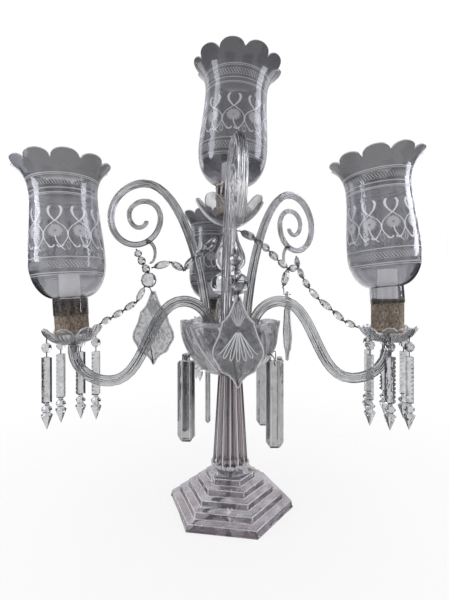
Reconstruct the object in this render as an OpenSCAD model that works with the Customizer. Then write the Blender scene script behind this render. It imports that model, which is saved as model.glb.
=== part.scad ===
// Tabletop candelabra in moulded and cut glass: a stepped hexagonal foot, a fluted column and
// a bowl whose receiver holds three light arms and three scroll arms, with a fourth light on
// the stem. Millimetres, +Z up, origin at the centre of the foot's underside.

/* [Foot and column] */
// Radius of the hexagonal foot, centre to corner
foot_r = 86; // [80:1:95]
// Direction of one corner of the foot
foot_turn = -8.5; // [-30:0.5:30]
// Height of each of the foot's steps
step_h = 9; // [8:0.5:9]
// Number of flutes cut in the column
flutes = 14; // [10:1:16]

/* [Bowl and receiver] */
// Radius of the bowl at its rim
bowl_r = 70; // [69:1:73]
// Thickness of the bowl's glass
bowl_wall = 4; // [3:0.5:5]
// Radius of the circle of arm sockets
socket_r = 32; // [31:0.5:33]

/* [Light arms] */
// Radius of an arm's glass rod
arm_r = 7.3; // [6:0.1:7.5]
// Distance from an arm's socket to its light
arm_reach = 175.5; // [172:0.5:180]
// Height of the top of the side lights' galleries
light_z = 286; // [284:1:288]
// Height of the top of the stem light's gallery
stem_light_z = 444; // [442:1:446]

/* [Scroll arms] */
// Radius of a scroll arm at its foot
scroll_r = 7.4; // [6:0.1:7.5]
// Radius of a scroll arm at its tip
scroll_tip_r = 3.2; // [2:0.1:4]

/* [Lights] */
// Outer radius of the brass gallery
gallery_r = 20.5; // [20:0.1:21]
// Outer radius of the candle sleeve
sleeve_r = 12; // [11.5:0.1:13]
// Radius of the lamp thread bored in each lampholder
lamp_r = 7; // [6.5:0.1:7]
// Radius of an arm's shade at its belly
arm_belly_r = 42.5; // [41:0.5:45]
// Radius of the stem's shade at its belly
stem_belly_r = 46; // [44:0.5:48]
// Number of petals on a shade's rim
petals = 10; // [8:1:12]

/* [Leans] */
// Lean of the left light on its arm, towards +X
left_lean = -3.5; // [-5:0.5:5]
// Lean of the right light's shade in its gallery, towards +X
right_lean = -5; // [-5:0.5:0]
// Lean of the stem's shade in its gallery, towards +X
stem_lean = 3.5; // [0:0.5:3.5]

/* [Hangings] */
// Length of a flat bowl prism
prism_l = 116; // [90:1:120]
// Length of a spear prism, body and point
spear_l = 90; // [80:1:94]
// Size of a pendalogue, top to tip
leaf_l = 103; // [90:1:106]

/* [Hidden] */
$fn = 64;
glass = [0.80, 0.81, 0.84, 0.55];
frosted = [0.88, 0.88, 0.90, 0.75];
brass = [0.45, 0.37, 0.22];
iron = [0.2, 0.2, 0.2];
white = [0.95, 0.95, 0.93];
eps = 0.01;

// Stack of the stem, bottom to top
step_r = [for (k = [0:4]) foot_r - 12.75 * k];
collar_z = 5 * step_h + 5;
recess_h = 9;
bowl_z = 183;
plate_z = 232;
plate_top = 241;
ball_z = 291;
pear_z = 325;
crown_z = 388;
rod_r = 4;
rod_bore = 4.3;
nipple_r = 3.5;
nipple_bore = 3.6;
plug_r = 6.4;
plug_bore = 6.5;
plug_z = 220;

// A light's sizes. Its heights run from the top of its gallery: the depths of the gallery, its
// inner shelf and the bobeche's underside, and the tops of the sleeve and the lampholder. The
// right gallery has its shelf near its top, so that the neck of its shade shows
gallery_h = 43;
shelf_h = 20;
right_shelf_h = 7;
bobeche_h = 57.5;
sleeve_up = 31;
right_sleeve_up = 38;
lamp_top = 23;
lamp_deep = 24;
floor_h = 2;
floor_z = floor_h - gallery_h;

// Sockets and directions of the arms. The arms are turned in their sockets, so that each one
// points a little away from the line through its socket.
left_arm_at = [217, 193.7];
right_arm_at = [-17, -10];
rear_arm_at = [100, 99.4];
front_scroll_at = [259, 276.6];
left_scroll_at = [168, 174.1];
right_scroll_at = [44, 36.5];

function polar(r, az, z = 0) = [r * cos(az), r * sin(az), z];
function arm_point(at, s, z) = polar(socket_r, at[0]) + polar(s, at[1]) + [0, 0, z];
left_light = arm_point(left_arm_at, arm_reach, light_z);
right_light = arm_point(right_arm_at, arm_reach, light_z);
rear_light = arm_point(rear_arm_at, arm_reach, light_z);
stem_light = [0, 0, stem_light_z];

// Directions in which the hangings hang, clear of the arms: the spears under petals of their
// bobeches, which are an eighth of a turn apart
bowl_prism_az = [-8, -33, -147, 160, 120, 41];
// Each prism's turn about its own height, and how much shorter it is than the longest
bowl_prism_turn = [0, -57, 54, 0, 60, 49];
bowl_prism_cut = [0, 0, 8, 0, 0, 0];
left_turn = 6;
right_turn = 27;
rear_turn = 0;
left_spear_az = [for (k = [4, 3, 2, 1]) left_turn + 45 * k];
right_spear_az = [for (k = [5, 6, 0, 1, 2, 4]) right_turn + 45 * k];
rear_spear_az = [for (k = [5, 7, 0, 4]) rear_turn + 45 * k];
spear_hang_r = 31.5;
spear_hang_h = 9.5;
bowl_hole_z = 213;
bowl_hole_r = 59;
prism_hang_r = 69;
hook_hole_r = 1.7;
wire_r = 0.6;

// Tops of the pendalogues
front_leaf = [8, -105, 289];
left_leaf = [-107, -8, 297];
right_leaf = [85, 27, 297];

// Points of a cubic curve from p[0] to p[3], without the first
function curve(p, n) = [
    for (i = [1:n]) let (t = i / n, u = 1 - t)
        u * u * u * p[0] + 3 * u * u * t * p[1] + 3 * u * t * t * p[2] + t * t * t * p[3]
];

// A quarter of an ellipse from p to q, that leaves p along the first axis if flat, else along
// the second
function quarter(p, q, flat, n = 7) = curve([
    p,
    flat ? [p[0] + 0.552 * (q[0] - p[0]), p[1]] : [p[0], p[1] + 0.552 * (q[1] - p[1])],
    flat ? [q[0], q[1] - 0.552 * (q[1] - p[1])] : [q[0] - 0.552 * (q[0] - p[0]), q[1]],
    q
], n);

// A rod of changing radius along a path in the XZ plane
module rod_along(path, radii, sides = 12) {
    last = len(path) - 1;
    points = [
        for (i = [0:last]) let (d = path[min(i + 1, last)] - path[max(i - 1, 0)], t = d / norm(d))
            for (j = [0:sides - 1]) let (a = 360 * j / sides, across = radii[i] * cos(a))
                [path[i][0] - t[1] * across, radii[i] * sin(a), path[i][1] + t[0] * across]
    ];
    walls = [
        for (i = [0:last - 1]) for (j = [0:sides - 1]) let (k = (j + 1) % sides)
            [i * sides + j, i * sides + k, (i + 1) * sides + k, (i + 1) * sides + j]
    ];
    start = [for (j = [sides - 1:-1:0]) j];
    end = [for (j = [0:sides - 1]) last * sides + j];
    polyhedron(points, concat([start], walls, [end]), convexity = 6);
}

// A straight piece of wire
module wire(a, b, r = wire_r) {
    d = b - a;
    translate(a) rotate([0, acos(d[2] / norm(d)), atan2(d[1], d[0])])
        cylinder(r = r, h = norm(d), $fn = 16);
}

// A wire through a list of points, with a ball at each of them
module wire_path(points, ball_r = wire_r + 0.1) {
    for (i = [0:len(points) - 2]) wire(points[i], points[i + 1]);
    for (p = points) translate(p) sphere(r = ball_r, $fn = 16);
}

// An almond bead of length l, centred between a and b
module bead(a, b, r = 4, l = 11) {
    d = b - a;
    translate((a + b) / 2) rotate([0, acos(d[2] / norm(d)), atan2(d[1], d[0])]) {
        cylinder(r1 = r, r2 = 1, h = l / 2, $fn = 24);
        translate([0, 0, -l / 2]) cylinder(r1 = 1, r2 = r, h = l / 2, $fn = 24);
    }
}

// ---- Foot, column and rod ----

module foot() {
    bevel = 2;
    top = 5 * step_h;
    color(glass) difference() {
        union() {
            for (k = [0:4]) rotate(foot_turn) {
                translate([0, 0, k * step_h]) cylinder(r = step_r[k], h = step_h - bevel, $fn = 6);
                translate([0, 0, (k + 1) * step_h - bevel - eps])
                    cylinder(r1 = step_r[k], r2 = step_r[k] - bevel, h = bevel + eps, $fn = 6);
            }
            translate([0, 0, top - eps]) cylinder(r1 = 25, r2 = 18.5, h = collar_z - top + eps);
        }
        cylinder(r = rod_bore, h = 200, center = true);
        translate([0, 0, -1]) cylinder(r = 16, h = recess_h + 1);
    }
}

// A nut on a washer, in the recess under the foot
module foot_nut() {
    washer_h = 2;
    color(brass) difference() {
        union() {
            translate([0, 0, recess_h - washer_h]) cylinder(r = 13, h = washer_h);
            translate([0, 0, 1.5]) cylinder(r = 8, h = recess_h - washer_h - 1.5, $fn = 6);
        }
        cylinder(r = rod_r + 0.05, h = 20);
    }
}

module tie_rod() {
    color(iron) translate([0, 0, 1]) cylinder(r = rod_r, h = stem_light_z - gallery_h + 2);
}

module column() {
    shoulder_z = collar_z + 12;
    shoulder_r = 24.7;
    neck_r = 17;
    lean = atan((shoulder_r - neck_r) / (bowl_z - shoulder_z));
    color(glass) difference() {
        rotate_extrude() polygon([
            [rod_bore, collar_z], [18.5, collar_z], [20.5, collar_z + 3], [24, collar_z + 7],
            [shoulder_r, shoulder_z], [neck_r, bowl_z], [rod_bore, bowl_z]
        ]);
        for (k = [0:flutes - 1]) rotate(360 * k / flutes)
            translate([shoulder_r + 1, 0, shoulder_z - 3]) rotate([0, -lean, 0])
                cylinder(r = 3, h = 140, $fn = 32);
    }
}

// ---- Bowl and receiver ----

module bowl() {
    top = 256;
    notches = 10;
    outer = [
        [29, bowl_z], [bowl_r - 26, bowl_z + 8], [bowl_r - 15.5, bowl_z + 19],
        [bowl_r - 8, bowl_z + 31.5], [bowl_r - 1.5, bowl_z + 52], [bowl_r, top]
    ];
    inner = [for (i = [5:-1:1]) outer[i] - [bowl_wall, i < 5 ? -2 : 0]];
    color(glass) difference() {
        rotate_extrude() polygon(concat(
            [[rod_bore, bowl_z]], outer, inner, [[28, bowl_z + 4], [rod_bore, bowl_z + 4]]
        ));
        for (k = [0:notches - 1]) rotate(360 * k / notches + 10)
            translate([0, 0, top + 6.5]) rotate([0, 90, 0]) cylinder(r = 10, h = 90);
        for (az = bowl_prism_az) rotate(az)
            translate([bowl_hole_r - 9, 0, bowl_hole_z]) rotate([0, 90, 0])
                cylinder(r = hook_hole_r, h = 18, $fn = 24);
    }
}

module receiver() {
    sockets = [left_arm_at, right_arm_at, rear_arm_at, front_scroll_at, left_scroll_at, right_scroll_at];
    color(iron) difference() {
        union() {
            translate([0, 0, plate_z]) cylinder(r = 41, h = plate_top - plate_z);
            translate([0, 0, bowl_z + 4]) cylinder(r = 9, h = plate_z - bowl_z);
            for (at = sockets) translate(polar(socket_r, at[0], plug_z - 3)) cylinder(r = 8.5, h = 16);
        }
        translate([0, 0, bowl_z]) cylinder(r = rod_bore, h = 80);
        for (at = sockets) translate(polar(socket_r, at[0], plug_z - 1)) cylinder(r = plug_bore, h = 30);
    }
}

// ---- Stem ----

module turned(profile) {
    last = len(profile) - 1;
    rotate_extrude() polygon(concat(
        [[rod_bore, profile[0][1]]], profile, [[rod_bore, profile[last][1]]]
    ));
}

module lower_baluster() {
    color(glass) turned([
        [9, plate_top], [12, plate_top + 4], [17, plate_top + 18], [16.5, plate_top + 27],
        [9, plate_top + 43], [12, ball_z]
    ]);
}

module stem_ball() {
    color(glass) turned([
        [12, ball_z], [23, ball_z + 5], [27.5, ball_z + 12], [27.5, ball_z + 20],
        [23, ball_z + 28], [10, pear_z]
    ]);
}

module stem_pear() {
    color(glass) turned([
        [10, pear_z], [17, pear_z + 5], [21.5, pear_z + 14], [21, pear_z + 24],
        [15, pear_z + 42], [9, crown_z]
    ]);
}

module stem_bobeche() {
    color(glass) intersection() {
        rotate_extrude() polygon([
            [rod_bore, crown_z], [9, crown_z], [18, crown_z + 5], [30, crown_z + 14],
            [40, crown_z + 25], [46, crown_z + 37], [43, crown_z + 38], [37, crown_z + 27],
            [28, crown_z + 18], [22, crown_z + 13], [rod_bore, crown_z + 13]
        ]);
        linear_extrude(500) union() {
            circle(r = 25);
            for (k = [0:7]) rotate(45 * k + 12)
                polygon([[18, -9], [30, -10.5], [39, -8], [46, 0], [39, 8], [30, 10.5], [18, 9]]);
        }
    }
}

// ---- Arms ----

arm_path = concat(
    [[0, plate_top]],
    quarter([0, plate_top], [38, 283], false),
    curve([[38, 283], [85, 283], [84, 181.5], [131, 181.5]], 14),
    quarter([131, 181.5], [arm_reach, light_z - bobeche_h - 4], true),
    [[arm_reach, light_z - bobeche_h + 0.7]]
);
arm_steps = len(arm_path) - 1;
arm_radii = [for (i = [0:arm_steps]) arm_r - 1.1 * pow(i / arm_steps, 4)];

// An arm, whose end is cut square to its light and bored for the nipple
module glass_arm(at, lean = 0) {
    color(glass) translate(polar(socket_r, at[0])) rotate(at[1]) difference() {
        union() {
            rod_along(arm_path, arm_radii, 14);
            translate([0, 0, plug_z]) cylinder(r = plug_r, h = plate_top - plug_z + 1);
        }
        translate([arm_reach, 0, light_z - bobeche_h]) rotate(-at[1]) rotate([0, lean, 0]) {
            cylinder(r = nipple_bore, h = 24, center = true);
            cylinder(r = 12, h = 10);
        }
    }
}
module left_arm() { glass_arm(left_arm_at, left_lean); }
module right_arm() { glass_arm(right_arm_at); }
module rear_arm() { glass_arm(rear_arm_at); }

scroll_path = concat(
    [[0, plate_top]],
    curve([[0, plate_top], [6, 335], [42, 454], [95, 454]], 12),
    quarter([95, 454], [145, 405], true),
    quarter([145, 405], [107, 365], false),
    quarter([107, 365], [70, 403], true),
    quarter([70, 403], [94, 428], false),
    quarter([94, 428], [117, 409], true, 6),
    quarter([117, 409], [102, 390], false, 6),
    quarter([102, 390], [91, 399], true, 4)
);
scroll_steps = len(scroll_path) - 1;
scroll_radii = [for (i = [0:scroll_steps]) scroll_r + (scroll_tip_r - scroll_r) * i / scroll_steps];
tail_path = concat(
    [[91, 370]],
    quarter([91, 370], [78, 352], true, 4),
    quarter([78, 352], [86, 338], false, 4)
);
tail_radii = [for (i = [0:8]) 3 - 1.5 * i / 8];

module scroll(at) {
    color(glass) translate(polar(socket_r, at[0])) rotate(at[1]) {
        rod_along(scroll_path, scroll_radii, 10);
        rod_along(tail_path, tail_radii, 8);
        translate([0, 0, plug_z]) cylinder(r = plug_r, h = plate_top - plug_z + 1);
    }
}
module front_scroll() { scroll(front_scroll_at); }
module left_scroll() { scroll(left_scroll_at); }
module right_scroll() { scroll(right_scroll_at); }

// ---- Lights, each drawn about its axis with the top of its gallery at the origin ----

// Places a light, which leans towards +X on a seat that is this far below its gallery's top
module stand(light, seat, lean) {
    translate(light - [0, 0, seat]) rotate([0, lean, 0]) translate([0, 0, seat]) children();
}
module stand_left() { stand(left_light, bobeche_h, left_lean) children(); }

// A dish with eight petals, a seat for the gallery in its middle and a hole in each petal
module bobeche(turn) {
    seat = bobeche_h - gallery_h;
    color(glass) translate([0, 0, -bobeche_h]) difference() {
        intersection() {
            rotate_extrude() polygon([
                [nipple_bore, 0], [7, 0], [15, 1.5], [24, 4.5], [30, 9], [34, 14.5], [36.5, 21],
                [33.5, 21.5], [30.5, 16], [26, 12], [20.8, 10], [18, seat], [nipple_bore, seat]
            ]);
            union() {
                cylinder(r = 25.5, h = 40);
                for (k = [0:7]) rotate(45 * k + turn) translate([26, 0, 0]) cylinder(r = 10.6, h = 40);
            }
        }
        for (k = [0:7]) translate(polar(spear_hang_r, 45 * k + turn))
            cylinder(r = hook_hole_r, h = 40, $fn = 24);
    }
}
module left_bobeche() { stand_left() bobeche(left_turn); }
module right_bobeche() { translate(right_light) bobeche(right_turn); }
module rear_bobeche() { translate(rear_light) bobeche(rear_turn); }

module gallery(shelf = shelf_h) {
    color(brass) translate([0, 0, -gallery_h]) difference() {
        rotate_extrude() polygon([
            [0, 0], [17, 0], [gallery_r, 1.5], [gallery_r, 4], [gallery_r - 0.7, 5],
            [gallery_r - 0.7, gallery_h - 5], [gallery_r, gallery_h - 4], [gallery_r, gallery_h],
            [gallery_r - 0.9, gallery_h],
            [gallery_r - 1.1, gallery_h - shelf], [gallery_r - 3.2, gallery_h - shelf],
            [gallery_r - 3.2, gallery_h - shelf - 2], [gallery_r - 1.9, gallery_h - shelf - 4],
            [gallery_r - 1.9, floor_h], [0, floor_h]
        ]);
        cylinder(r = rod_bore, h = 10, center = true);
    }
}
module left_gallery() { stand_left() gallery(); }
module right_gallery() { translate(right_light) gallery(right_shelf_h); }
module rear_gallery() { translate(rear_light) gallery(); }
module stem_gallery() { translate(stem_light) gallery(); }

// A lampholder on a round base, bored from the top for the lamp's thread
module lampholder() {
    difference() {
        union() {
            translate([0, 0, floor_z]) cylinder(r = 10, h = 3);
            translate([0, 0, floor_z]) cylinder(r = lamp_r + 2.6, h = lamp_top - floor_z);
        }
        translate([0, 0, lamp_top - lamp_deep]) cylinder(r = lamp_r, h = lamp_deep + 1);
        translate([0, 0, floor_z - 1]) cylinder(r = rod_bore, h = 6);
    }
}

// A lampholder for an arm has a nipple, which passes through its gallery and bobeche
module arm_lampholder() {
    lampholder();
    translate([0, 0, -bobeche_h - 10]) cylinder(r = nipple_r, h = bobeche_h + 10 + floor_z + 5);
    translate([0, 0, floor_z]) cylinder(r = rod_bore + 0.5, h = 5);
}

module lampholders() {
    color(white) {
        stand_left() arm_lampholder();
        translate(right_light) arm_lampholder();
        translate(rear_light) arm_lampholder();
        translate(stem_light) lampholder();
    }
}

module sleeve(up = sleeve_up) {
    color(white) translate([0, 0, floor_z]) difference() {
        cylinder(r = sleeve_r, h = up - floor_z);
        translate([0, 0, -1]) cylinder(r = sleeve_r - 1.5, h = 100);
    }
}
module left_sleeve() { stand_left() sleeve(); }
module right_sleeve() { translate(right_light) sleeve(right_sleeve_up); }
module rear_sleeve() { translate(rear_light) sleeve(); }
module stem_sleeve() { translate(stem_light) sleeve(); }

shade_wall = 2.2;
neck_r = 18.4;
shade_top = 167;

// The outside of a shade, from the foot of its neck to its rim
function shade_outer(belly, waist, rim) = concat(
    [[neck_r, -shelf_h], [neck_r, 2.5]],
    curve([[neck_r, 2.5], [belly - 11.5, 5], [belly, 20], [belly, 46]], 7),
    curve([[belly, 46], [belly, 76], [waist, 96], [waist, 126]], 5),
    curve([[waist, 126], [waist, 146], [waist + 7.7, 158], [rim, shade_top]], 6)
);

// A shade, drawn with the top of its gallery at the origin
module shade(turn, belly = arm_belly_r) {
    rim = belly + 14.5;
    outer = shade_outer(belly, belly - 5, rim);
    inner = [for (i = [len(outer) - 1:-1:0]) outer[i] + [-shade_wall, i > 1 && i < 8 ? 1 : 0]];
    petal_r = 0.28 * rim;
    color(frosted) intersection() {
        rotate_extrude() polygon(concat(outer, inner));
        translate([0, 0, -shelf_h - 1]) union() {
            cylinder(r = 0.83 * rim, h = 300);
            for (k = [0:petals - 1]) rotate(360 * k / petals + turn)
                translate([rim - petal_r + 0.1, 0, 0]) cylinder(r = petal_r, h = 300);
        }
    }
}
module left_shade() { stand_left() shade(-5); }
module right_shade() {
    up = shelf_h - right_shelf_h - (neck_r + 1) * sin(right_lean);
    translate([0.25, 0, up]) stand(right_light, shelf_h, right_lean) shade(-6);
}
module rear_shade() { translate(rear_light) shade(0); }
module stem_shade() {
    up = (neck_r + 1) * sin(stem_lean);
    translate([-0.5, 0, up]) stand(stem_light, shelf_h, stem_lean) shade(-9, stem_belly_r);
}

// ---- Hangings ----

// A flat bevelled prism with a cut point, on a wire hook through the bowl
module bowl_prism(i) {
    half_w = 11.5;
    half_t = 4;
    edge_t = 1.2;
    bevel = 5;
    tip = bowl_prism_cut[i] - prism_l;
    across = [[half_t, bevel], [edge_t, half_w], [-edge_t, half_w], [-half_t, bevel]];
    front = [[half_w, 0], [half_w, tip + 10], [4, tip], [-4, tip], [-half_w, tip + 10], [-half_w, 0]];
    side = [[8, 0], [8, tip + 8], [1, tip], [-1, tip], [-8, tip + 8], [-8, 0]];
    top = bowl_hole_z - 8;
    turn = bowl_prism_turn[i];
    behind = [prism_hang_r - 5.5 * cos(turn), -5.5 * sin(turn)];
    rotate(bowl_prism_az[i]) {
        color(glass) translate([prism_hang_r, 0, top]) rotate(turn) difference() {
            intersection() {
                translate([0, 0, tip]) linear_extrude(-tip)
                    polygon(concat(across, [for (k = [3:-1:0]) [across[k][0], -across[k][1]]]));
                rotate([90, 0, 90]) linear_extrude(20, center = true) polygon(front);
                rotate([90, 0, 0]) linear_extrude(40, center = true) polygon(side);
            }
            translate([0, 0, -5]) rotate([0, 90, 0])
                cylinder(r = hook_hole_r, h = 20, center = true, $fn = 24);
        }
        color(iron) wire_path([
            [bowl_hole_r - 3, 0, bowl_hole_z], [prism_hang_r - 5.5, 0, bowl_hole_z],
            [behind[0], behind[1], top + 3], [behind[0], behind[1], top - 5],
            [prism_hang_r + 5 * cos(turn), 5 * sin(turn), top - 5]
        ]);
    }
}
module bowl_prism_1() { bowl_prism(0); }
module bowl_prism_2() { bowl_prism(1); }
module bowl_prism_3() { bowl_prism(2); }
module bowl_prism_4() { bowl_prism(3); }
module bowl_prism_5() { bowl_prism(4); }
module bowl_prism_6() { bowl_prism(5); }

// A spear prism with notched edges, on a wire with an almond bead, hung at the origin
module spear() {
    drop = 22;
    half_w = 6.3;
    body = 57;
    teeth = 11;
    pitch = body / teeth;
    neck = 3;
    head_l = spear_l - body - 5;
    edge = [
        for (i = [0:teeth - 1]) each [
            [half_w, -pitch * i], [half_w, -pitch * (i + 0.7)], [half_w - 1.2, -pitch * (i + 0.85)]
        ]
    ];
    outline = concat(
        edge,
        [[neck, -body], [neck, -body - 6], [-neck, -body - 6], [-neck, -body]],
        [for (i = [len(edge) - 1:-1:0]) [-edge[i][0], edge[i][1]]]
    );
    head = [[neck, 0], [7, -5], [0.5, -head_l], [-0.5, -head_l], [-7, -5], [-neck, 0]];
    color(glass) {
        translate([0, 0, -drop]) {
            difference() {
                rotate([90, 0, 90]) linear_extrude(6.4, center = true) polygon(outline);
                translate([0, 0, -3]) rotate([0, 90, 0]) cylinder(r = 1, h = 20, center = true, $fn = 24);
            }
            translate([0, 0, -body - 5]) intersection() {
                rotate([90, 0, 90]) linear_extrude(20, center = true) polygon(head);
                rotate([90, 0, 0]) linear_extrude(20, center = true) polygon(head);
            }
        }
        bead([0, 0, -3.5], [0, 0, -17.5], 6, 13);
    }
    color(iron) {
        wire([0, 0, 2.5], [0, 0, -5]);
        wire([0, 0, -16], [0, 0, -drop - 4]);
    }
}

// Hangs a spear plumb from a petal's hole, which leans with its light
module spear_at(light, az, lean = 0) {
    hole = polar(spear_hang_r, az);
    up = spear_hang_h * cos(lean) - hole[0] * sin(lean);
    across = hole[0] * cos(lean) + spear_hang_h * sin(lean);
    translate(light + [across, hole[1], up - bobeche_h]) rotate(az) spear();
}
module left_spear_1() { spear_at(left_light, left_spear_az[0], left_lean); }
module left_spear_2() { spear_at(left_light, left_spear_az[1], left_lean); }
module left_spear_3() { spear_at(left_light, left_spear_az[2], left_lean); }
module left_spear_4() { spear_at(left_light, left_spear_az[3], left_lean); }
module right_spear_1() { spear_at(right_light, right_spear_az[0]); }
module right_spear_2() { spear_at(right_light, right_spear_az[1]); }
module right_spear_3() { spear_at(right_light, right_spear_az[2]); }
module right_spear_4() { spear_at(right_light, right_spear_az[3]); }
module right_spear_5() { spear_at(right_light, right_spear_az[4]); }
module right_spear_6() { spear_at(right_light, right_spear_az[5]); }
module rear_spear_1() { spear_at(rear_light, rear_spear_az[0]); }
module rear_spear_2() { spear_at(rear_light, rear_spear_az[1]); }
module rear_spear_3() { spear_at(rear_light, rear_spear_az[2]); }
module rear_spear_4() { spear_at(rear_light, rear_spear_az[3]); }

// A flat lobed leaf, hung from the hole below its top, facing along Y
leaf_hole = 4.5;
module pendalogue() {
    half = [
        [3, 0], [5, -0.06], [7.5, -0.13], [10.8, -0.2], [15, -0.25], [18.6, -0.285], [19, -0.32],
        [20.6, -0.37],
        [22, -0.42], [25, -0.485], [28.2, -0.555], [29.2, -0.62], [28.4, -0.66], [26, -0.7], [24.2, -0.73],
        [22.4, -0.755], [21.6, -0.79], [18.4, -0.83], [14, -0.85], [10.2, -0.87], [5.3, -0.92], [0.8, -1]
    ];
    right_side = [for (p = half) [p[0], p[1] * leaf_l]];
    left_side = [for (i = [len(half) - 1:-1:0]) [-right_side[i][0], right_side[i][1]]];
    color(glass) difference() {
        rotate([90, 0, 0]) linear_extrude(6, center = true) polygon(concat(right_side, left_side));
        translate([0, 0, -leaf_hole]) rotate([90, 0, 0]) cylinder(r = 1.4, h = 20, center = true, $fn = 24);
    }
}
module front_pendalogue() { translate(front_leaf) pendalogue(); }
module left_pendalogue() { translate(left_leaf) pendalogue(); }
module right_pendalogue() { translate(right_leaf) rotate(90) pendalogue(); }

// A wire with rounded ends through a list of points
module strand(points, r = 1.1) {
    color(iron) for (i = [0:len(points) - 2]) hull() {
        translate(points[i]) sphere(r = r, $fn = 8);
        translate(points[i + 1]) sphere(r = r, $fn = 8);
    }
}

// Cut beads strung between the points of a route
module bead_chain(route, r) {
    strand(route);
    color(glass) for (i = [0:len(route) - 2]) let (d = route[i + 1] - route[i], l = norm(d))
        translate((route[i] + route[i + 1]) / 2) rotate([0, acos(d[2] / l), atan2(d[1], d[0])]) hull() {
            cylinder(r = r, h = l / 8, $fn = 8, center = true);
            cylinder(r = 1.6, h = l - 3, $fn = 8, center = true);
        }
}

// A round cut bead that faces along Y
module rosette(at, r) {
    color(glass) translate(at) rotate([90, 0, 0]) hull() {
        cylinder(r = r, h = 1.5, $fn = 16, center = true);
        cylinder(r = r * 0.6, h = 8, $fn = 16, center = true);
    }
}

// The wire on which a pendalogue hangs
module leaf_pin(from, leaf, across) {
    hole = leaf - [0, 0, leaf_hole];
    strand([from, hole - across, hole + across], wire_r);
}

// Wire points of the chains
left_route = [[-164, -54, 255], [-153, -45, 262], [-141, -33, 271], [-127, -21, 282], [-118, -14, 302]];
left_cluster = [[-114, -9, 322], [-122, 0, 334], [-130, 8, 346], [-135, 12, 356]];
right_route = [
    [167, -29, 249], [154, -20, 256], [141, -10, 270], [126, 3, 285], [115, 15, 301],
    [109, 28, 316], [105, 48, 334], [107, 72, 353]
];
right_branch = [[104, 47, 334], [88, 40, 331], [79, 28, 304]];
stem_route = [
    [-108, -4, 330], [-85, 6, 338], [-65, 2, 327], [-50, -6, 345], [-38, -12, 353], [-14, -42, 367]
];
front_route = [
    [14, -46, 372], [34, -10, 369], [47, 22, 367], [58, 24, 356], [72, 34, 344], [87, 39, 333]
];
drop_route = [[4, -116, 337], [5, -113, 321], [6, -110, 306], [8, -110, 293]];

module left_chain() {
    bead_chain(left_route, 4.3);
    bead_chain(left_cluster, 5.5);
    rosette([-113, -10, 312], 11);
    leaf_pin([-112, -13, 304], left_leaf, [0, 5, 0]);
}

module right_chain() {
    bead_chain(right_route, 4.5);
    bead_chain(right_branch, 5.5);
    leaf_pin([80, 29, 302], right_leaf, [5, 0, 0]);
}

module scroll_chain() {
    bead_chain(stem_route, 5);
    bead_chain(front_route, 5.5);
    strand([[-13, -42, 368], [-4, -46, 374], [13, -46, 373]]);
}

module front_drop() {
    bead_chain(drop_route, 6.5);
    leaf_pin([8, -110, 291], front_leaf, [0, 5, 0]);
}

foot();
foot_nut();
tie_rod();
column();
bowl();
receiver();
lower_baluster();
stem_ball();
stem_pear();
stem_bobeche();
left_arm();
right_arm();
rear_arm();
left_bobeche();
right_bobeche();
rear_bobeche();
left_gallery();
right_gallery();
rear_gallery();
stem_gallery();
lampholders();
left_sleeve();
right_sleeve();
rear_sleeve();
stem_sleeve();
left_shade();
right_shade();
rear_shade();
stem_shade();
front_scroll();
left_scroll();
right_scroll();
front_pendalogue();
left_pendalogue();
right_pendalogue();
bowl_prism_1();
bowl_prism_2();
bowl_prism_3();
bowl_prism_4();
bowl_prism_5();
bowl_prism_6();
left_chain();
right_chain();
scroll_chain();
front_drop();
left_spear_1();
left_spear_2();
left_spear_3();
left_spear_4();
right_spear_1();
right_spear_2();
right_spear_3();
right_spear_4();
right_spear_5();
right_spear_6();
rear_spear_1();
rear_spear_2();
rear_spear_3();
rear_spear_4();
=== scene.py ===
from math import atan2, cos, hypot, pi, radians, sin, tau

import bmesh
import bpy
from mathutils import Matrix, Vector
from mathutils.geometry import interpolate_bezier


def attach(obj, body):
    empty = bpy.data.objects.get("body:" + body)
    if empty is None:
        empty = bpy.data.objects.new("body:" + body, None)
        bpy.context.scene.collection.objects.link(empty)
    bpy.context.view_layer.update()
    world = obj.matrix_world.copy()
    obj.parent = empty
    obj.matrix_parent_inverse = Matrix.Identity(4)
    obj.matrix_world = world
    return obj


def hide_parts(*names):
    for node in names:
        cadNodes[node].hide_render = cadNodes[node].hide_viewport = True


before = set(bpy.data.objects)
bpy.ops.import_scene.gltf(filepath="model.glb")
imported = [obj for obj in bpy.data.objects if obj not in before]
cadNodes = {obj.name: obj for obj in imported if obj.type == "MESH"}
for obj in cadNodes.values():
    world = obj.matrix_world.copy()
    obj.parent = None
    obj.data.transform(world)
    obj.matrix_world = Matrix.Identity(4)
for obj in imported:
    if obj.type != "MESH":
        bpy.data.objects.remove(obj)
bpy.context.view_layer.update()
scene = bpy.context.scene
root = "candelabra"

# Everything below is drawn in millimetres and brought to metres when a piece is finished.
millimetre = 0.001
toMetres = Matrix.Scale(millimetre, 4)
rodBore = 4.3  # the hole for the tie rod, through foot, column, bowl and stem


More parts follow.
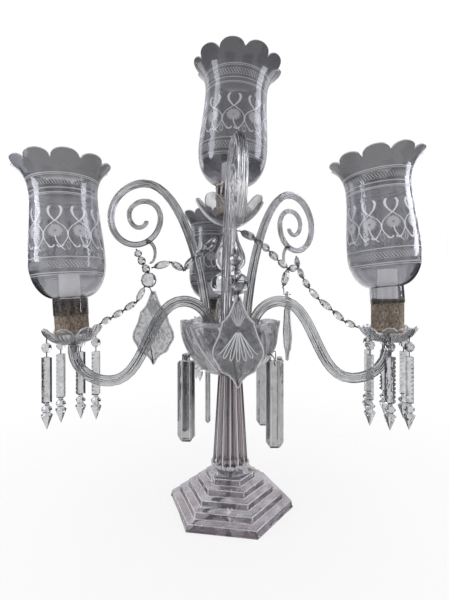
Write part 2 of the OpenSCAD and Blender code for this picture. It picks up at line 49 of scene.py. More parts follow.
class Wire:
    # a socket that can be used in an expression
    def __init__(self, paint, socket):
        self.paint, self.socket = paint, socket

    def maths(self, operation, *values):
        return self.paint.add("ShaderNodeMath", {"operation": operation}, dict(enumerate(values)))

    def __add__(self, other):
        return self.maths("ADD", self, other)

    __radd__ = __add__

    def __sub__(self, other):
        return self.maths("SUBTRACT", self, other)

    def __rsub__(self, other):
        return self.maths("SUBTRACT", other, self)

    def __mul__(self, other):
        return self.maths("MULTIPLY", self, other)

    __rmul__ = __mul__

    def __truediv__(self, other):
        return self.maths("DIVIDE", self, other)

    def __pow__(self, other):
        return self.maths("POWER", self, other)

    def __abs__(self):
        return self.maths("ABSOLUTE", self)

    def fraction(self):
        return self.maths("FRACT", self)

    def sine(self):
        return self.maths("SINE", self)

    def root(self):
        return self.maths("SQRT", self)

    def bearingFrom(self, other):
        # the angle of a place, from how far along two axes it is
        return self.maths("ARCTAN2", self, other)

    def larger(self, other):
        return self.maths("MAXIMUM", self, other)

    def clamped(self):
        return self.paint.add("ShaderNodeClamp", {}, {0: self})

    def band(self, centre, half, soft):
        # 1 within half of the centre, and 0 further out than half + soft
        return ((half + soft - abs(self - centre)) / soft).clamped()


class Paint:
    # the nodes of one material, or of the world
    def __init__(self, name, owner=None):
        self.owner = owner or bpy.data.materials.new(name)
        self.owner.use_nodes = True
        self.tree = self.owner.node_tree
        self.tree.nodes.clear()

    def add(self, kind, settings=None, values=None, output=0):
        node = self.tree.nodes.new(kind)
        for key, value in (settings or {}).items():
            if key == "stops":  # a smooth curve through (place, height) pairs
                ramp = node.color_ramp
                ramp.interpolation = "CARDINAL"
                while len(ramp.elements) < len(value):
                    ramp.elements.new(1.0)
                for stop, (place, height) in zip(ramp.elements, value):
                    stop.position, stop.color = place, (height, height, height, 1)
            else:
                setattr(node, key, value)
        for key, value in (values or {}).items():
            if isinstance(value, Wire):
                self.tree.links.new(value.socket, node.inputs[key])
            else:
                node.inputs[key].default_value = value
        return Wire(self, node.outputs[output] if node.outputs else None)

    def place(self, origin=(0, 0, 0), turn=(0, 0, 0), scale=(1, 1, 1)):
        # object coordinates measured from an origin, in a turned frame
        spot = self.add("ShaderNodeTexCoord", output=3)
        return self.add("ShaderNodeMapping", {"vector_type": "TEXTURE"},
                        {"Vector": spot, "Location": origin, "Rotation": turn, "Scale": scale})

    def placeIn(self, matrix):
        # millimetres in the frame of a piece that leans or turns
        origin = tuple(matrix.to_translation() * millimetre)
        return self.place(origin, tuple(matrix.to_euler()), (millimetre,) * 3)

    def split(self, vector):
        node = self.add("ShaderNodeSeparateXYZ", {}, {0: vector}).socket.node
        return [Wire(self, node.outputs[i]) for i in range(3)]

    def noise(self, vector, scale, detail=2.0, distortion=0.0):
        return self.add("ShaderNodeTexNoise", {},
                        {"Vector": vector, "Scale": scale, "Detail": detail, "Distortion": distortion})

    def blend(self, factor, first, second):
        return self.add("ShaderNodeMix", {"data_type": "RGBA"}, {0: factor, 6: first, 7: second}, 2)

    def bump(self, height, strength, distance):
        return self.add("ShaderNodeBump", {}, {"Height": height, "Strength": strength, "Distance": distance})

    def coat(self, colour, roughness, normal=None, others=None):
        values = {"Base Color": colour, "Roughness": roughness, **(others or {})}
        if normal:
            values["Normal"] = normal
        return self.add("ShaderNodeBsdfPrincipled", {}, values)

    def glass(self, colour, roughness, normal=None, index=1.5):
        return self.coat(colour, roughness, normal, {"Transmission Weight": 1.0, "IOR": index})

    def glow(self, colour, strength):
        return self.add("ShaderNodeEmission", {}, {"Color": colour, "Strength": strength})

    def mixShaders(self, factor, first, second):
        return self.add("ShaderNodeMixShader", {}, {0: factor, 1: first, 2: second})

    def seen(self):
        # 1 for what the camera sees straight, in a reflection or through glass
        path = self.add("ShaderNodeLightPath").socket.node
        kinds = ("Camera", "Glossy", "Transmission")
        return largest(Wire(self, path.outputs[f"Is {kind} Ray"]) for kind in kinds)

    def surface(self, shader):
        self.add("ShaderNodeOutputMaterial", {}, {"Surface": shader})
        return self.owner


def largest(marks):
    top, *others = marks
    for mark in others:
        top = top.larger(mark)
    return top


def rgb(r, g, b):
    return (r, g, b, 1.0)


def grey(tone, blue=0.0):
    return rgb(tone, tone, tone + blue)


glassLook = {
    "tint": rgb(0.76, 0.765, 0.785), "deep": grey(0.5, 0.015), "haze": rgb(0.52, 0.525, 0.555),
    # side and sides are the colour and the share of the painted shade on grazing edges
    "hazeShare": 0.05, "roughness": 0.012, "ripple": 0.0012, "side": grey(0.07, 0.005), "sides": 0.0,
}


def clearGlass(name, look, scale):
    # old clear glass: slightly uneven, with a thin grey film on it
    look = {**glassLook, **look}
    paint = Paint(name)
    spot = paint.place()
    cloud = paint.noise(spot, scale)
    fine = paint.noise(spot, scale * 9)
    tint = paint.blend(cloud.band(0.5, 0.02, 0.18), look["deep"], look["tint"])
    body = paint.glass(tint, cloud * 0.03 + look["roughness"], paint.bump(cloud, 0.5, look["ripple"]))
    film = paint.coat(look["haze"], fine * 0.2 + 0.3, paint.bump(fine, 0.3, 0.0003))
    clean = paint.mixShaders(cloud * 0.04 + fine * 0.04 + (look["hazeShare"] - 0.04), body, film)
    if not look["sides"]:
        return paint.surface(clean)
    # painted shade: a dark coat on the grazing edges of thick glass, of the colour side and the share sides
    shade = paint.coat(look["side"], fine * 0.1 + 0.08)
    grazingShade = paint.add("ShaderNodeLayerWeight", {}, {"Blend": 0.5}, 1)
    return paint.surface(paint.mixShaders(((grazingShade - 0.2) / 0.4).clamped() * look["sides"], clean, shade))


def frostedHighlight(name, tone, share):
    # bright frosted glass, used as a painted highlight on edges, rims, corners and small beads
    paint = Paint(name)
    grain = paint.noise(paint.place(), 700)
    clear = paint.glass(grey(0.85, 0.03), grain * 0.1, index=1.45)
    frost = paint.coat(grey(tone, 0.03), grain * 0.2 + 0.2, paint.bump(grain, 0.3, 0.0002))
    return paint.surface(paint.mixShaders(grain * 0.3 + (share - 0.15), clear, frost))


def metal(name, colour, worn, scale=250, metallic=0.9, roughness=0.35):
    paint = Paint(name)
    grain = paint.noise(paint.place(), scale, 4.0)
    wear = grain.band(0.62, 0.04, 0.08)
    return paint.surface(paint.coat(paint.blend(wear, colour, worn), grain * 0.3 + roughness - 0.1,
                                    paint.bump(grain, 0.4, 0.0003), {"Metallic": metallic}))


def plastic(name, colour, shade, glow=0.0):
    paint = Paint(name)
    spot = paint.place()
    cloud = paint.noise(spot, 40, 3.0)
    grain = paint.noise(spot, 900)
    tint = paint.blend(cloud.band(0.5, 0.03, 0.2), shade, colour)
    return paint.surface(paint.coat(tint, grain * 0.15 + 0.3, paint.bump(grain, 0.2, 0.0001),
                                    {"Emission Color": rgb(1, 1, 1), "Emission Strength": glow}))


frostedHighlightGlass = frostedHighlight("frostedHighlightGlass", 0.85, 0.6)
iron = metal("darkWire", rgb(0.035, 0.034, 0.033), rgb(0.16, 0.15, 0.13))


def bend(start, startHandle, endHandle, end, steps):
    # points of a curve, without the first
    points = interpolate_bezier(*[Vector(p).to_3d() for p in (start, startHandle, endHandle, end)], steps + 1)
    return [(p.x, p.y) for p in points[1:]]


def polar(radius, bearing, height=0.0):
    return Vector((radius * cos(radians(bearing)), radius * sin(radians(bearing)), height))


def onlyVerts(geom):
    return [g for g in geom if isinstance(g, bmesh.types.BMVert)]


def onlyEdges(geom):
    return [g for g in geom if isinstance(g, bmesh.types.BMEdge)]


def lathe(profile, steps=96, loop=True):
    # turns (radius, height) points about Z; a loop closes back on its first point
    bm = bmesh.new()
    track = bm.verts.layers.float.new("track")
    line = [bm.verts.new((r, 0, z)) for r, z in profile]
    for i, v in enumerate(line):
        v[track] = i
    pairs = list(zip(line, line[1:])) + ([(line[-1], line[0])] if loop else [])
    edges = [bm.edges.new(pair) for pair in pairs]
    bmesh.ops.spin(bm, geom=line + edges, cent=(0, 0, 0), axis=(0, 0, 1), angle=tau, steps=steps,
                   use_merge=True, use_duplicate=False)
    bmesh.ops.remove_doubles(bm, verts=bm.verts, dist=0.001)
    bmesh.ops.recalc_face_normals(bm, faces=bm.faces)
    return bm


def cutIn(v, depth):
    # moves a point of a turned piece towards the axis
    inward = 1 - depth / hypot(v.co.x, v.co.y)
    v.co.x *= inward
    v.co.y *= inward


def slidePetals(bm, profile, petals, turn, fromTrack, depth, sharp=0.5):
    # moves the points of a turned sheet back along its profile, so that its edge becomes a row of petals
    track = bm.verts.layers.float["track"]
    lastTrack = len(profile) - 1
    for v in bm.verts:
        t = v[track]
        if t <= fromTrack:
            continue
        angle = atan2(v.co.y, v.co.x)
        share = ((angle - radians(turn)) * petals / tau + 0.5) % 1.0 - 0.5
        back = 1 - max(0.0, 1 - (2 * abs(share)) ** 2.2) ** sharp
        reach = (t - fromTrack) / (lastTrack - fromTrack)
        t = fromTrack + (lastTrack - fromTrack) * (reach - depth * back * reach)
        i = min(int(t), lastTrack - 1)
        f = t - i
        radius = profile[i][0] * (1 - f) + profile[i + 1][0] * f
        v.co = (radius * cos(angle), radius * sin(angle), profile[i][1] * (1 - f) + profile[i + 1][1] * f)


def thicken(bm, wall):
    # gives a sheet its wall, and the narrow faces round its petals the second material
    bmesh.ops.recalc_face_normals(bm, faces=bm.faces)
    bmesh.ops.solidify(bm, geom=bm.faces, thickness=wall)
    rim = {v for e in bm.edges if e.calc_face_angle(0) > 1 for v in e.verts}
    for face in bm.faces:
        if all(v in rim for v in face.verts) and max(v.co.z for v in face.verts) > 3:
            face.material_index = 1


def extrudeOutline(bm, points, way):
    face = bm.faces.new([bm.verts.new(p) for p in points])
    made = bmesh.ops.extrude_face_region(bm, geom=[face])["geom"]
    bmesh.ops.translate(bm, vec=way, verts=onlyVerts(made))


def meshOf(line):
    # the mesh of a curve, which stands in the scene only while it is read
    holder = bpy.data.objects.new(line.name, line)
    scene.collection.objects.link(holder)
    mesh = bpy.data.meshes.new_from_object(holder.evaluated_get(bpy.context.evaluated_depsgraph_get()))
    bpy.data.objects.remove(holder)
    return mesh


def join(bm, mesh):
    bm.from_mesh(mesh)
    bpy.data.meshes.remove(mesh)


def addWire(bm, points, radius):
    # a wire through points, as tube faces that get the second material
    line = bpy.data.curves.new("wireLine", "CURVE")
    line.dimensions, line.bevel_depth, line.bevel_resolution = "3D", radius, 1
    line.use_fill_caps = True
    spline = line.splines.new("POLY")
    spline.points.add(len(points) - 1)
    for point, place in zip(spline.points, points):
        point.co = (*place, 1)
    before = set(bm.faces)
    join(bm, meshOf(line))
    for face in set(bm.faces) - before:
        face.material_index = 1
        face.smooth = True


def addBall(bm, sides, rings, matrix):
    made = bmesh.ops.create_uvsphere(bm, u_segments=sides, v_segments=rings, radius=1)["verts"]
    bmesh.ops.transform(bm, matrix=matrix, verts=made)


def addBead(bm, a, b, radius, length):
    # a cut bead between two points
    a, b = Vector(a), Vector(b)
    turn = (b - a).to_track_quat("Z", "Y").to_matrix().to_4x4()
    size = Matrix.Diagonal((radius, radius, length / 2, 1))
    addBall(bm, 8, 6, Matrix.Translation((a + b) / 2) @ turn @ size)


def finishPiece(name, bm, materials, body, stoodFor=(), place=None, smoothTo=None):
    bmesh.ops.transform(bm, matrix=toMetres @ (place or Matrix.Identity(4)), verts=bm.verts)
    mesh = bpy.data.meshes.new(name)
    for material in materials:
        mesh.materials.append(material)
    bm.to_mesh(mesh)
    bm.free()
    if smoothTo:
        mesh.shade_smooth()
        mesh.set_sharp_from_angle(angle=radians(smoothTo))
    piece = bpy.data.objects.new(name, mesh)
    scene.collection.objects.link(piece)
    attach(piece, body)
    if stoodFor:
        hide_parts(*stoodFor)
    return piece


layout = {
    "socketRadius": 32, "armReach": 175.5, "galleryDepth": 43, "shelfDepth": 20, "rightShelfDepth": 7,
    "bobecheDepth": 57.5, "lightHeight": 286, "stemLightHeight": 444, "seatRadius": 19.4,
    # the bearing of an arm's socket, and of the arm itself
    "leftArm": (217, 193.7), "rightArm": (-17, -10), "rearArm": (100, 99.4),
    "frontScroll": (259, 276.6), "leftScroll": (168, 174.1), "rightScroll": (44, 36.5),
    "leftLean": -3.5, "rightShadeLean": -5, "stemShadeLean": 3.5,
}


def leaning(light, seat, lean):
    return (Matrix.Translation(light - Vector((0, 0, seat))) @ Matrix.Rotation(radians(lean), 4, "Y")
            @ Matrix.Translation((0, 0, seat)))


def lightSpot(arm):
    socket, bearing = layout[arm]
    return (polar(layout["socketRadius"], socket) + polar(layout["armReach"], bearing)
            + Vector((0, 0, layout["lightHeight"])))


def askewShade(light, across, lean, up=0):
    # a shade that leans in its gallery stands on one side of its neck
    up += layout["seatRadius"] * sin(radians(abs(lean)))
    return Matrix.Translation((across, 0, up)) @ leaning(lightSpots[light], layout["shelfDepth"], lean)


lightSpots = {"left": lightSpot("leftArm"), "right": lightSpot("rightArm"), "rear": lightSpot("rearArm"),
              "stem": Vector((0, 0, layout["stemLightHeight"]))}
lightFrames = {
    "left": leaning(lightSpots["left"], layout["bobecheDepth"], layout["leftLean"]),
    "right": Matrix.Translation(lightSpots["right"]),
    "rear": Matrix.Translation(lightSpots["rear"]),
    "stem": Matrix.Translation(lightSpots["stem"]),
}
higherShelf = layout["shelfDepth"] - layout["rightShelfDepth"]
shadeFrames = {
    **lightFrames,
    "right": askewShade("right", 0.25, layout["rightShadeLean"], higherShelf),
    "stem": askewShade("stem", -0.5, layout["stemShadeLean"]),
}


shadeShape = {
    "wall": 2.2, "neck": 18.4, "top": 167, "petals": 10, "petalFrom": 151, "petalSlide": 0.64, "steps": 216,
    "bellies": {"left": 42.5, "right": 42.5, "rear": 42.5, "stem": 46},
    "turns": {"left": 10, "right": -4, "rear": 0, "stem": 9},
    "flowerTurns": {"left": 8, "right": 31, "rear": 0, "stem": -2},
}
etching = {
    # painted shade: the four shades are alike, but each gets its own glass tint, grey film and etching
    # strength, and a darker tint over its top
    "shadedTints": {"left": 0.57, "right": 0.52, "stem": 0.42, "rear": 0.3},
    "rimShadeTints": {"left": 0.18, "right": 0.17, "stem": 0.09, "rear": 0.12},
    "rimShadeFrom": {"left": 134, "right": 134, "stem": 106, "rear": 134},
    "shadedFilms": {"left": 0.36, "right": 0.36, "stem": 0.22, "rear": 0.22},
    "filmShares": {"left": 0.16, "right": 0.16, "stem": 0.4, "rear": 0.3},
    "depths": {"left": 1.0, "right": 1.0, "stem": 0.6, "rear": 0.5},
    "frost": grey(0.92, 0.04), "repeats": 10, "span": 25.1, "links": 74,
    # heights and half widths of the lines, and heights, half widths and slants of the ropes
    "lines": [(143.5, 0.28), (141.8, 0.12), (127.3, 0.28), (122, 0.28), (120.4, 0.12), (47.5, 0.28),
              (30, 0.28), (27.6, 0.15)],
    "ropes": [(134.8, 4.4, 0.45), (39, 5.4, 0.6)],
    # how far a stem is from the middle of its flower, from its low end up: 0.5 is the middle, 1 the whole reach
    "stemLow": 56, "stemRise": 52, "stemReach": 20,
    "sway": [(0, 0.99), (0.08, 0.95), (0.17, 0.88), (0.285, 0.815), (0.42, 0.785), (0.54, 0.665),
             (0.635, 0.5), (0.73, 0.385), (0.84, 0.325), (0.92, 0.335), (1, 0.39)],
}


def etchedGlass(name, light):
    # clear blown glass with lines, ropes and a border of flowers and crossing stems ground into it
    look, edge = etching, 0.35
    paint = Paint(name)
    spot = paint.placeIn(shadeFrames[light])
    x, y, z = paint.split(spot)
    angle = y.bearingFrom(x) / tau + (1 - shadeShape["flowerTurns"][light] / 360)
    across = ((angle * look["repeats"]).fraction() - 0.5) * look["span"]

    def wrapped(value):
        return ((value / look["span"] + 1.5).fraction() - 0.5) * look["span"]

    def rope(centre, half, slant):
        # a chain of slanting ovals that overlap
        up = (z - centre) / half
        rings = []
        for shift in (0.25, 0.75):
            side = ((angle * look["links"] / 2 + up * slant + shift).fraction() - 0.5) * 2.6
            rings.append((side * side + up * up).root().band(0.8, 0.04, 0.11))
        return largest(rings) * (1.2 - up * up * 1.1).clamped()

    def curl(side):
        # the small hook at the foot of a stem
        dx, dz = wrapped(across - side * 20.8), z - 61.2
        return (dx * dx + dz * dz).root().band(2.6, 0.6, edge) * z.band(59.7, 1.5, 0.4)

    height = (z - look["stemLow"]) / look["stemRise"]
    path = paint.add("ShaderNodeValToRGB", {"stops": look["sway"]}, {0: height})
    path = path * (2 * look["stemReach"]) - look["stemReach"]
    thick = z.band(103, 2, 20) * 0.85 + 0.4
    stems = largest(wrapped(off).band(0, thick, edge) for off in (across - path, across + path))
    sink = ((72 - z) / 17).clamped()
    tendril = (across - sink * sink * 9).band(0, 0.5, edge) * z.band(63.5, 8.5, 0.5)
    drop = z - 77.5
    far = (across * across + drop * drop).root()
    lobes = abs((drop.bearingFrom(across) * 7).sine())
    flower = ((lobes * 2.4 + 6.1 - far) / 0.6).clamped() * (0.95 - lobes * 0.25)
    flower = flower * (1 - far.band(0, 1.1, 0.8) * 0.4)
    bud = wrapped(across - look["span"] / 2) / 2.2
    bud = (bud * bud + ((z - 60) / 5) * ((z - 60) / 5)).band(0.7, 0.2, 0.3) * 0.55
    lines = largest(z.band(level, half, edge) for level, half in look["lines"])
    ropes = largest(rope(*row) for row in look["ropes"])
    drawn = largest([stems * z.band(82.3, 23.5, 0.5), curl(-1), curl(1), tendril, lines * 0.85, ropes * 0.8,
                     flower * 0.85, bud])

    cloud = paint.noise(spot, 0.03)
    grain = paint.noise(spot, 1.2)
    # painted shade: the glass turns darker towards the rim, from a height set for each shade, with more grey
    # film there
    rimShade = ((z - look["rimShadeFrom"][light]) / 8).clamped()
    tint, rimShadeTint, film = look["shadedTints"][light], look["rimShadeTints"][light], look["shadedFilms"][light]
    clear = paint.glass(paint.blend(rimShade, grey(tint, 0.025), grey(rimShadeTint, 0.008)), cloud * 0.02 + 0.015,
                        paint.bump(cloud, 0.4, 0.004), 1.45)
    ground = paint.coat(paint.blend(drawn, grey(film, 0.02), look["frost"]), grain * 0.2 + 0.35,
                        paint.bump(grain * 0.15 - drawn, 0.4, 0.0004))
    filmed = z.band(86, 48, 16) * look["filmShares"][light] + ((z - 134) / 8).clamped() * 0.24 + cloud * 0.06
    cut = drawn * (grain * 0.3 + 0.68) * look["depths"][light]
    return paint.surface(paint.mixShaders(cut.larger(filmed).clamped(), clear, ground))


def makeShades():
    s = shadeShape
    for light, turn in s["turns"].items():
        belly = s["bellies"][light]
        waist = belly - 5
        profile = [(s["neck"], -layout["shelfDepth"]), (s["neck"], -9), (s["neck"], 2.5)]
        profile += bend(profile[-1], (belly - 11.5, 5), (belly, 20), (belly, 46), 14)
        profile += bend(profile[-1], (belly, 76), (waist, 96), (waist, 126), 12)
        profile += bend(profile[-1], (waist, 146), (waist + 7.7, 158), (belly + 14.5, s["top"]), 22)
        fromTrack = next(i for i, p in enumerate(profile) if p[1] > s["petalFrom"])
        bm = lathe(profile, s["steps"], loop=False)
        slidePetals(bm, profile, s["petals"], turn, fromTrack, s["petalSlide"])
        thicken(bm, s["wall"])
        piece = finishPiece(f"{light}Shade", bm, [etchedGlass(f"{light}EtchedGlass", light), frostedHighlightGlass],
                            f"{light}_shade", [f"{light}_shade"], shadeFrames[light], 60)
        rim = piece.modifiers.new("rim", "BEVEL")
        rim.width, rim.segments, rim.limit_method, rim.angle_limit = 0.0005, 2, "ANGLE", radians(55)


def section(name, lobes, depth, steps=72):
    # the cut across a ribbed rod, one millimetre in radius
    line = bpy.data.curves.new(name, "CURVE")
    spline = line.splines.new("POLY")
    spline.points.add(steps - 1)
    for i, point in enumerate(spline.points):
        a = tau * i / steps
        r = 1 - depth + depth * abs(cos(lobes * a / 2)) ** 0.7
        point.co = (r * cos(a), r * sin(a), 0, 1)
    spline.use_cyclic_u = True
    holder = bpy.data.objects.new(name, line)
    scene.collection.objects.link(holder)
    return holder


def ribbedRod(knots, radii, cut, at, twist, resolution=14):
    # knots are (point, handle, handle, point) pieces of a path in the plane of an arm
    socket, bearing = at
    base = polar(layout["socketRadius"], socket)

    def lift(p):
        return base + polar(p[0], bearing) + Vector((0, 0, p[1]))

    line = bpy.data.curves.new("rod", "CURVE")
    line.dimensions, line.bevel_mode, line.bevel_object = "3D", "OBJECT", cut
    line.use_fill_caps, line.resolution_u, line.twist_mode = True, resolution, "MINIMUM"
    spline = line.splines.new("BEZIER")
    spline.bezier_points.add(len(knots))
    for i, point in enumerate(spline.bezier_points):
        point.handle_left_type = point.handle_right_type = "FREE"
        point.co = lift(knots[i][0] if i < len(knots) else knots[-1][3])
        point.handle_right = lift(knots[i][1]) if i < len(knots) else point.co
        point.handle_left = lift(knots[i - 1][2]) if i else point.co
        point.radius, point.tilt = radii[i], twist * i
    bm = bmesh.new()
    join(bm, meshOf(line))
    bmesh.ops.remove_doubles(bm, verts=bm.verts, dist=0.001)
    bmesh.ops.recalc_face_normals(bm, faces=bm.faces)
    return bm


def quarter(p, q, flat):
    # a quarter turn that leaves p along the first axis if flat, else along the second
    dx, dz = q[0] - p[0], q[1] - p[1]
    if flat:
        return (p, (p[0] + 0.552 * dx, p[1]), (q[0], q[1] - 0.552 * dz), q)
    return (p, (p[0], p[1] + 0.552 * dz), (q[0] - 0.552 * dx, q[1]), q)


def straight(p, q):
    near = ((2 * p[0] + q[0]) / 3, (2 * p[1] + q[1]) / 3)
    far = ((p[0] + 2 * q[0]) / 3, (p[1] + 2 * q[1]) / 3)
    return (p, near, far, q)


plug = straight((0, 221), (0, 241))  # the end of an arm or scroll that stands in its socket


def makeArms(glass):
    arm = {"radii": (7.3, 7.3, 7.3, 6.9, 6.4, 6.2), "lobes": 12, "ribDepth": 0.2, "twist": 0.12,
           "crest": (38, 283), "dip": (131, 181.5), "end": (175.5, 224.5), "tip": (175.5, 228)}
    down = (arm["crest"], (85, 283), (84, 181.5), arm["dip"])
    knots = [plug, quarter(plug[3], arm["crest"], False), down, quarter(arm["dip"], arm["end"], True),
             straight(arm["end"], arm["tip"])]
    cut = section("armCut", arm["lobes"], arm["ribDepth"])
    for name in ("left", "right", "rear"):
        bm = ribbedRod(knots, arm["radii"], cut, layout[f"{name}Arm"], arm["twist"])
        finishPiece(f"{name}Arm", bm, [glass], root, [f"{name}_arm"], smoothTo=50)
    bpy.data.objects.remove(cut)


def makeScrolls(glasses):
    scroll = {"thick": 7.4, "thin": 3.2, "lobes": 10, "ribDepth": 0.21, "twist": 0.4,
              "turns": [(95, 454), (145, 405), (107, 365), (70, 403), (94, 428), (117, 409), (102, 390),
                        (91, 399)],
              "lengths": [20, 235, 78, 70, 62, 38, 32, 28, 15],
              "tail": [(91, 370), (78, 352), (86, 338)], "tailRadii": (3, 2.2, 1.5), "tailTwist": 0.2}
    turns, lengths = scroll["turns"], scroll["lengths"]
    knots = [plug, (plug[3], (6, 335), (42, 454), turns[0])]
    knots += [quarter(p, q, i % 2 == 0) for i, (p, q) in enumerate(zip(turns, turns[1:]))]
    radii = [scroll["thick"] + (scroll["thin"] - scroll["thick"]) * sum(lengths[:i]) / sum(lengths)
             for i in range(len(lengths) + 1)]
    first, turn, last = scroll["tail"]
    tail = [quarter(first, turn, True), quarter(turn, last, False)]
    cut = section("scrollCut", scroll["lobes"], scroll["ribDepth"])
    for name, glass in glasses.items():
        at = layout[f"{name}Scroll"]
        bm = ribbedRod(knots, radii, cut, at, scroll["twist"])
        finishPiece(f"{name}Scroll", bm, [glass], root, [f"{name}_scroll"], smoothTo=50)
        bm = ribbedRod(tail, scroll["tailRadii"], cut, at, scroll["tailTwist"])
        finishPiece(f"{name}ScrollTail", bm, [glass], root, smoothTo=50)
    bpy.data.objects.remove(cut)


def makeFoot(glass):
    foot = {"radius": 86, "steps": 5, "step": 9, "inset": 12.75, "turn": 21.5, "bevel": 2.0, "recess": 16,
            "recessHeight": 9, "collar": (25, 18.5), "collarHeight": 50}
    bm = bmesh.new()

    def circle(sides, radius):
        before = len(bm.edges)
        bmesh.ops.create_circle(bm, segments=sides, radius=radius)
        bm.edges.ensure_lookup_table()
        return bm.edges[before:]

    def grow(edges, scale, rise):
        made = bmesh.ops.extrude_edge_only(bm, edges=edges)["geom"]
        verts = onlyVerts(made)
        bmesh.ops.scale(bm, vec=(scale, scale, 1), verts=verts)
        bmesh.ops.translate(bm, vec=(0, 0, rise), verts=verts)
        return onlyEdges(made)

    radius = foot["radius"]
    edges = low = circle(6, radius)
    for k in range(foot["steps"]):
        edges = grow(edges, 1, foot["step"])
        if k < foot["steps"] - 1:
            edges = grow(edges, (radius - foot["inset"]) / radius, 0)
            radius -= foot["inset"]
    high = edges
    steps = [e for e in bm.edges if len(e.link_faces) == 2 and e.calc_face_angle(0) > 0.3]
    # the recess for the nut, the bore, and the raised seat of the column
    inner = circle(48, foot["recess"])
    bmesh.ops.bridge_loops(bm, edges=low + inner)
    inner = grow(inner, 1, foot["recessHeight"])
    inner = grow(inner, rodBore / foot["recess"], 0)
    inner = grow(inner, 1, foot["collarHeight"] - foot["recessHeight"])
    wide, narrow = foot["collar"]
    inner = grow(inner, narrow / rodBore, 0)
    inner = grow(inner, wide / narrow, foot["steps"] * foot["step"] - foot["collarHeight"])
    bmesh.ops.bridge_loops(bm, edges=high + inner)
    rounded = list(dict.fromkeys(steps + high + low))
    bmesh.ops.recalc_face_normals(bm, faces=bm.faces)
    bmesh.ops.bevel(bm, geom=rounded, offset=foot["bevel"], segments=3, profile=0.5, affect="EDGES",
                    material=-1)
    bm.normal_update()
    for face in bm.faces:
        # painted highlight: the slanting middle of each rounded edge, and the corners, get the bright frosted
        # material
        spot, out = face.calc_center_median(), face.normal
        offCorner = abs(((atan2(out.y, out.x) - pi / 2) / (pi / 3) + 0.5) % 1 - 0.5)
        corner = offCorner < 0.2 and abs(out.z) < 0.3
        if spot.z > 5 and spot.xy.length > 26 and (0.55 < out.z < 0.85 or corner):
            face.material_index = 1
    finishPiece("steppedFoot", bm, [glass, frostedHighlightGlass], root, ["foot"],
                Matrix.Rotation(radians(foot["turn"]), 4, "Z"), 35)


def steppedGlass(name):
    # solid glass, dusty on its level faces, with a painted reflection of what it stands on in brown-violet on
    # its upright faces, and painted glints
    look = {"tint": rgb(0.74, 0.71, 0.73), "deep": rgb(0.42, 0.35, 0.37), "dust": grey(0.6, 0.07),
            "brown": rgb(0.085, 0.05, 0.055), "glare": grey(0.95, 0.05)}
    paint = Paint(name)
    spot = paint.place()
    cloud = paint.noise(spot, 22, 2.0, 0.6)
    fine = paint.noise(spot, 160, 3.0)
    level = abs(paint.split(paint.add("ShaderNodeNewGeometry", output=1))[2])
    streak = cloud.band(0.52, 0.03, 0.1)
    body = paint.glass(paint.blend(streak, look["deep"], look["tint"]), fine * 0.05 + 0.01,
                       paint.bump(cloud, 0.6, 0.003))
    film = paint.coat(paint.blend(level, look["brown"], look["dust"]), fine * 0.25 + 0.12,
                      paint.bump(cloud + fine * 0.1, 0.5, 0.001))
    share = level * 0.2 + (1 - level) * 0.5 + fine * 0.15 + streak * 0.1 - 0.05
    glintMask = paint.noise(spot, 60, 2.0, 1.2).band(0.78, 0.07, 0.05) * 0.8
    glare = paint.coat(look["glare"], fine * 0.3 + 0.1)
    return paint.surface(paint.mixShaders(glintMask, paint.mixShaders(share.clamped(), body, film), glare))


columnShape = {"flutes": 14, "fluteShare": 0.41, "fluteDepth": 3.0, "shoulder": (24.7, 62), "neck": (17, 183),
               "stepsPerFlute": 12}


def flutedGlass(name):
    # painted highlights on the ridges over painted shadow in the flutes, the shadow browner on one side
    look = {"ridge": grey(0.93, 0.03), "hollow": rgb(0.46, 0.4, 0.43), "shadow": rgb(0.13, 0.075, 0.08),
            "paleShadow": rgb(0.13, 0.12, 0.135)}
    paint = Paint(name)
    spot = paint.place()
    x, y, _ = paint.split(spot)
    share = (y.bearingFrom(x) * (columnShape["flutes"] / tau) + 0.5).fraction()
    ridge = 1 - share.band(0.5, 0.38, 0.09)
    cloud = paint.noise(spot, 30)
    side = (x * 30 + cloud * 0.8 + 0.1).clamped()
    body = paint.glass(paint.blend(ridge, look["hollow"], look["ridge"]), cloud * 0.04 + 0.01,
                       paint.bump(cloud, 0.4, 0.001))
    shadow = paint.blend(side, look["paleShadow"], look["shadow"])
    film = paint.coat(paint.blend(ridge, shadow, look["ridge"]), cloud * 0.3 + 0.1)
    return paint.surface(paint.mixShaders(cloud * 0.15 + 0.22 + ridge * 0.5, body, film))


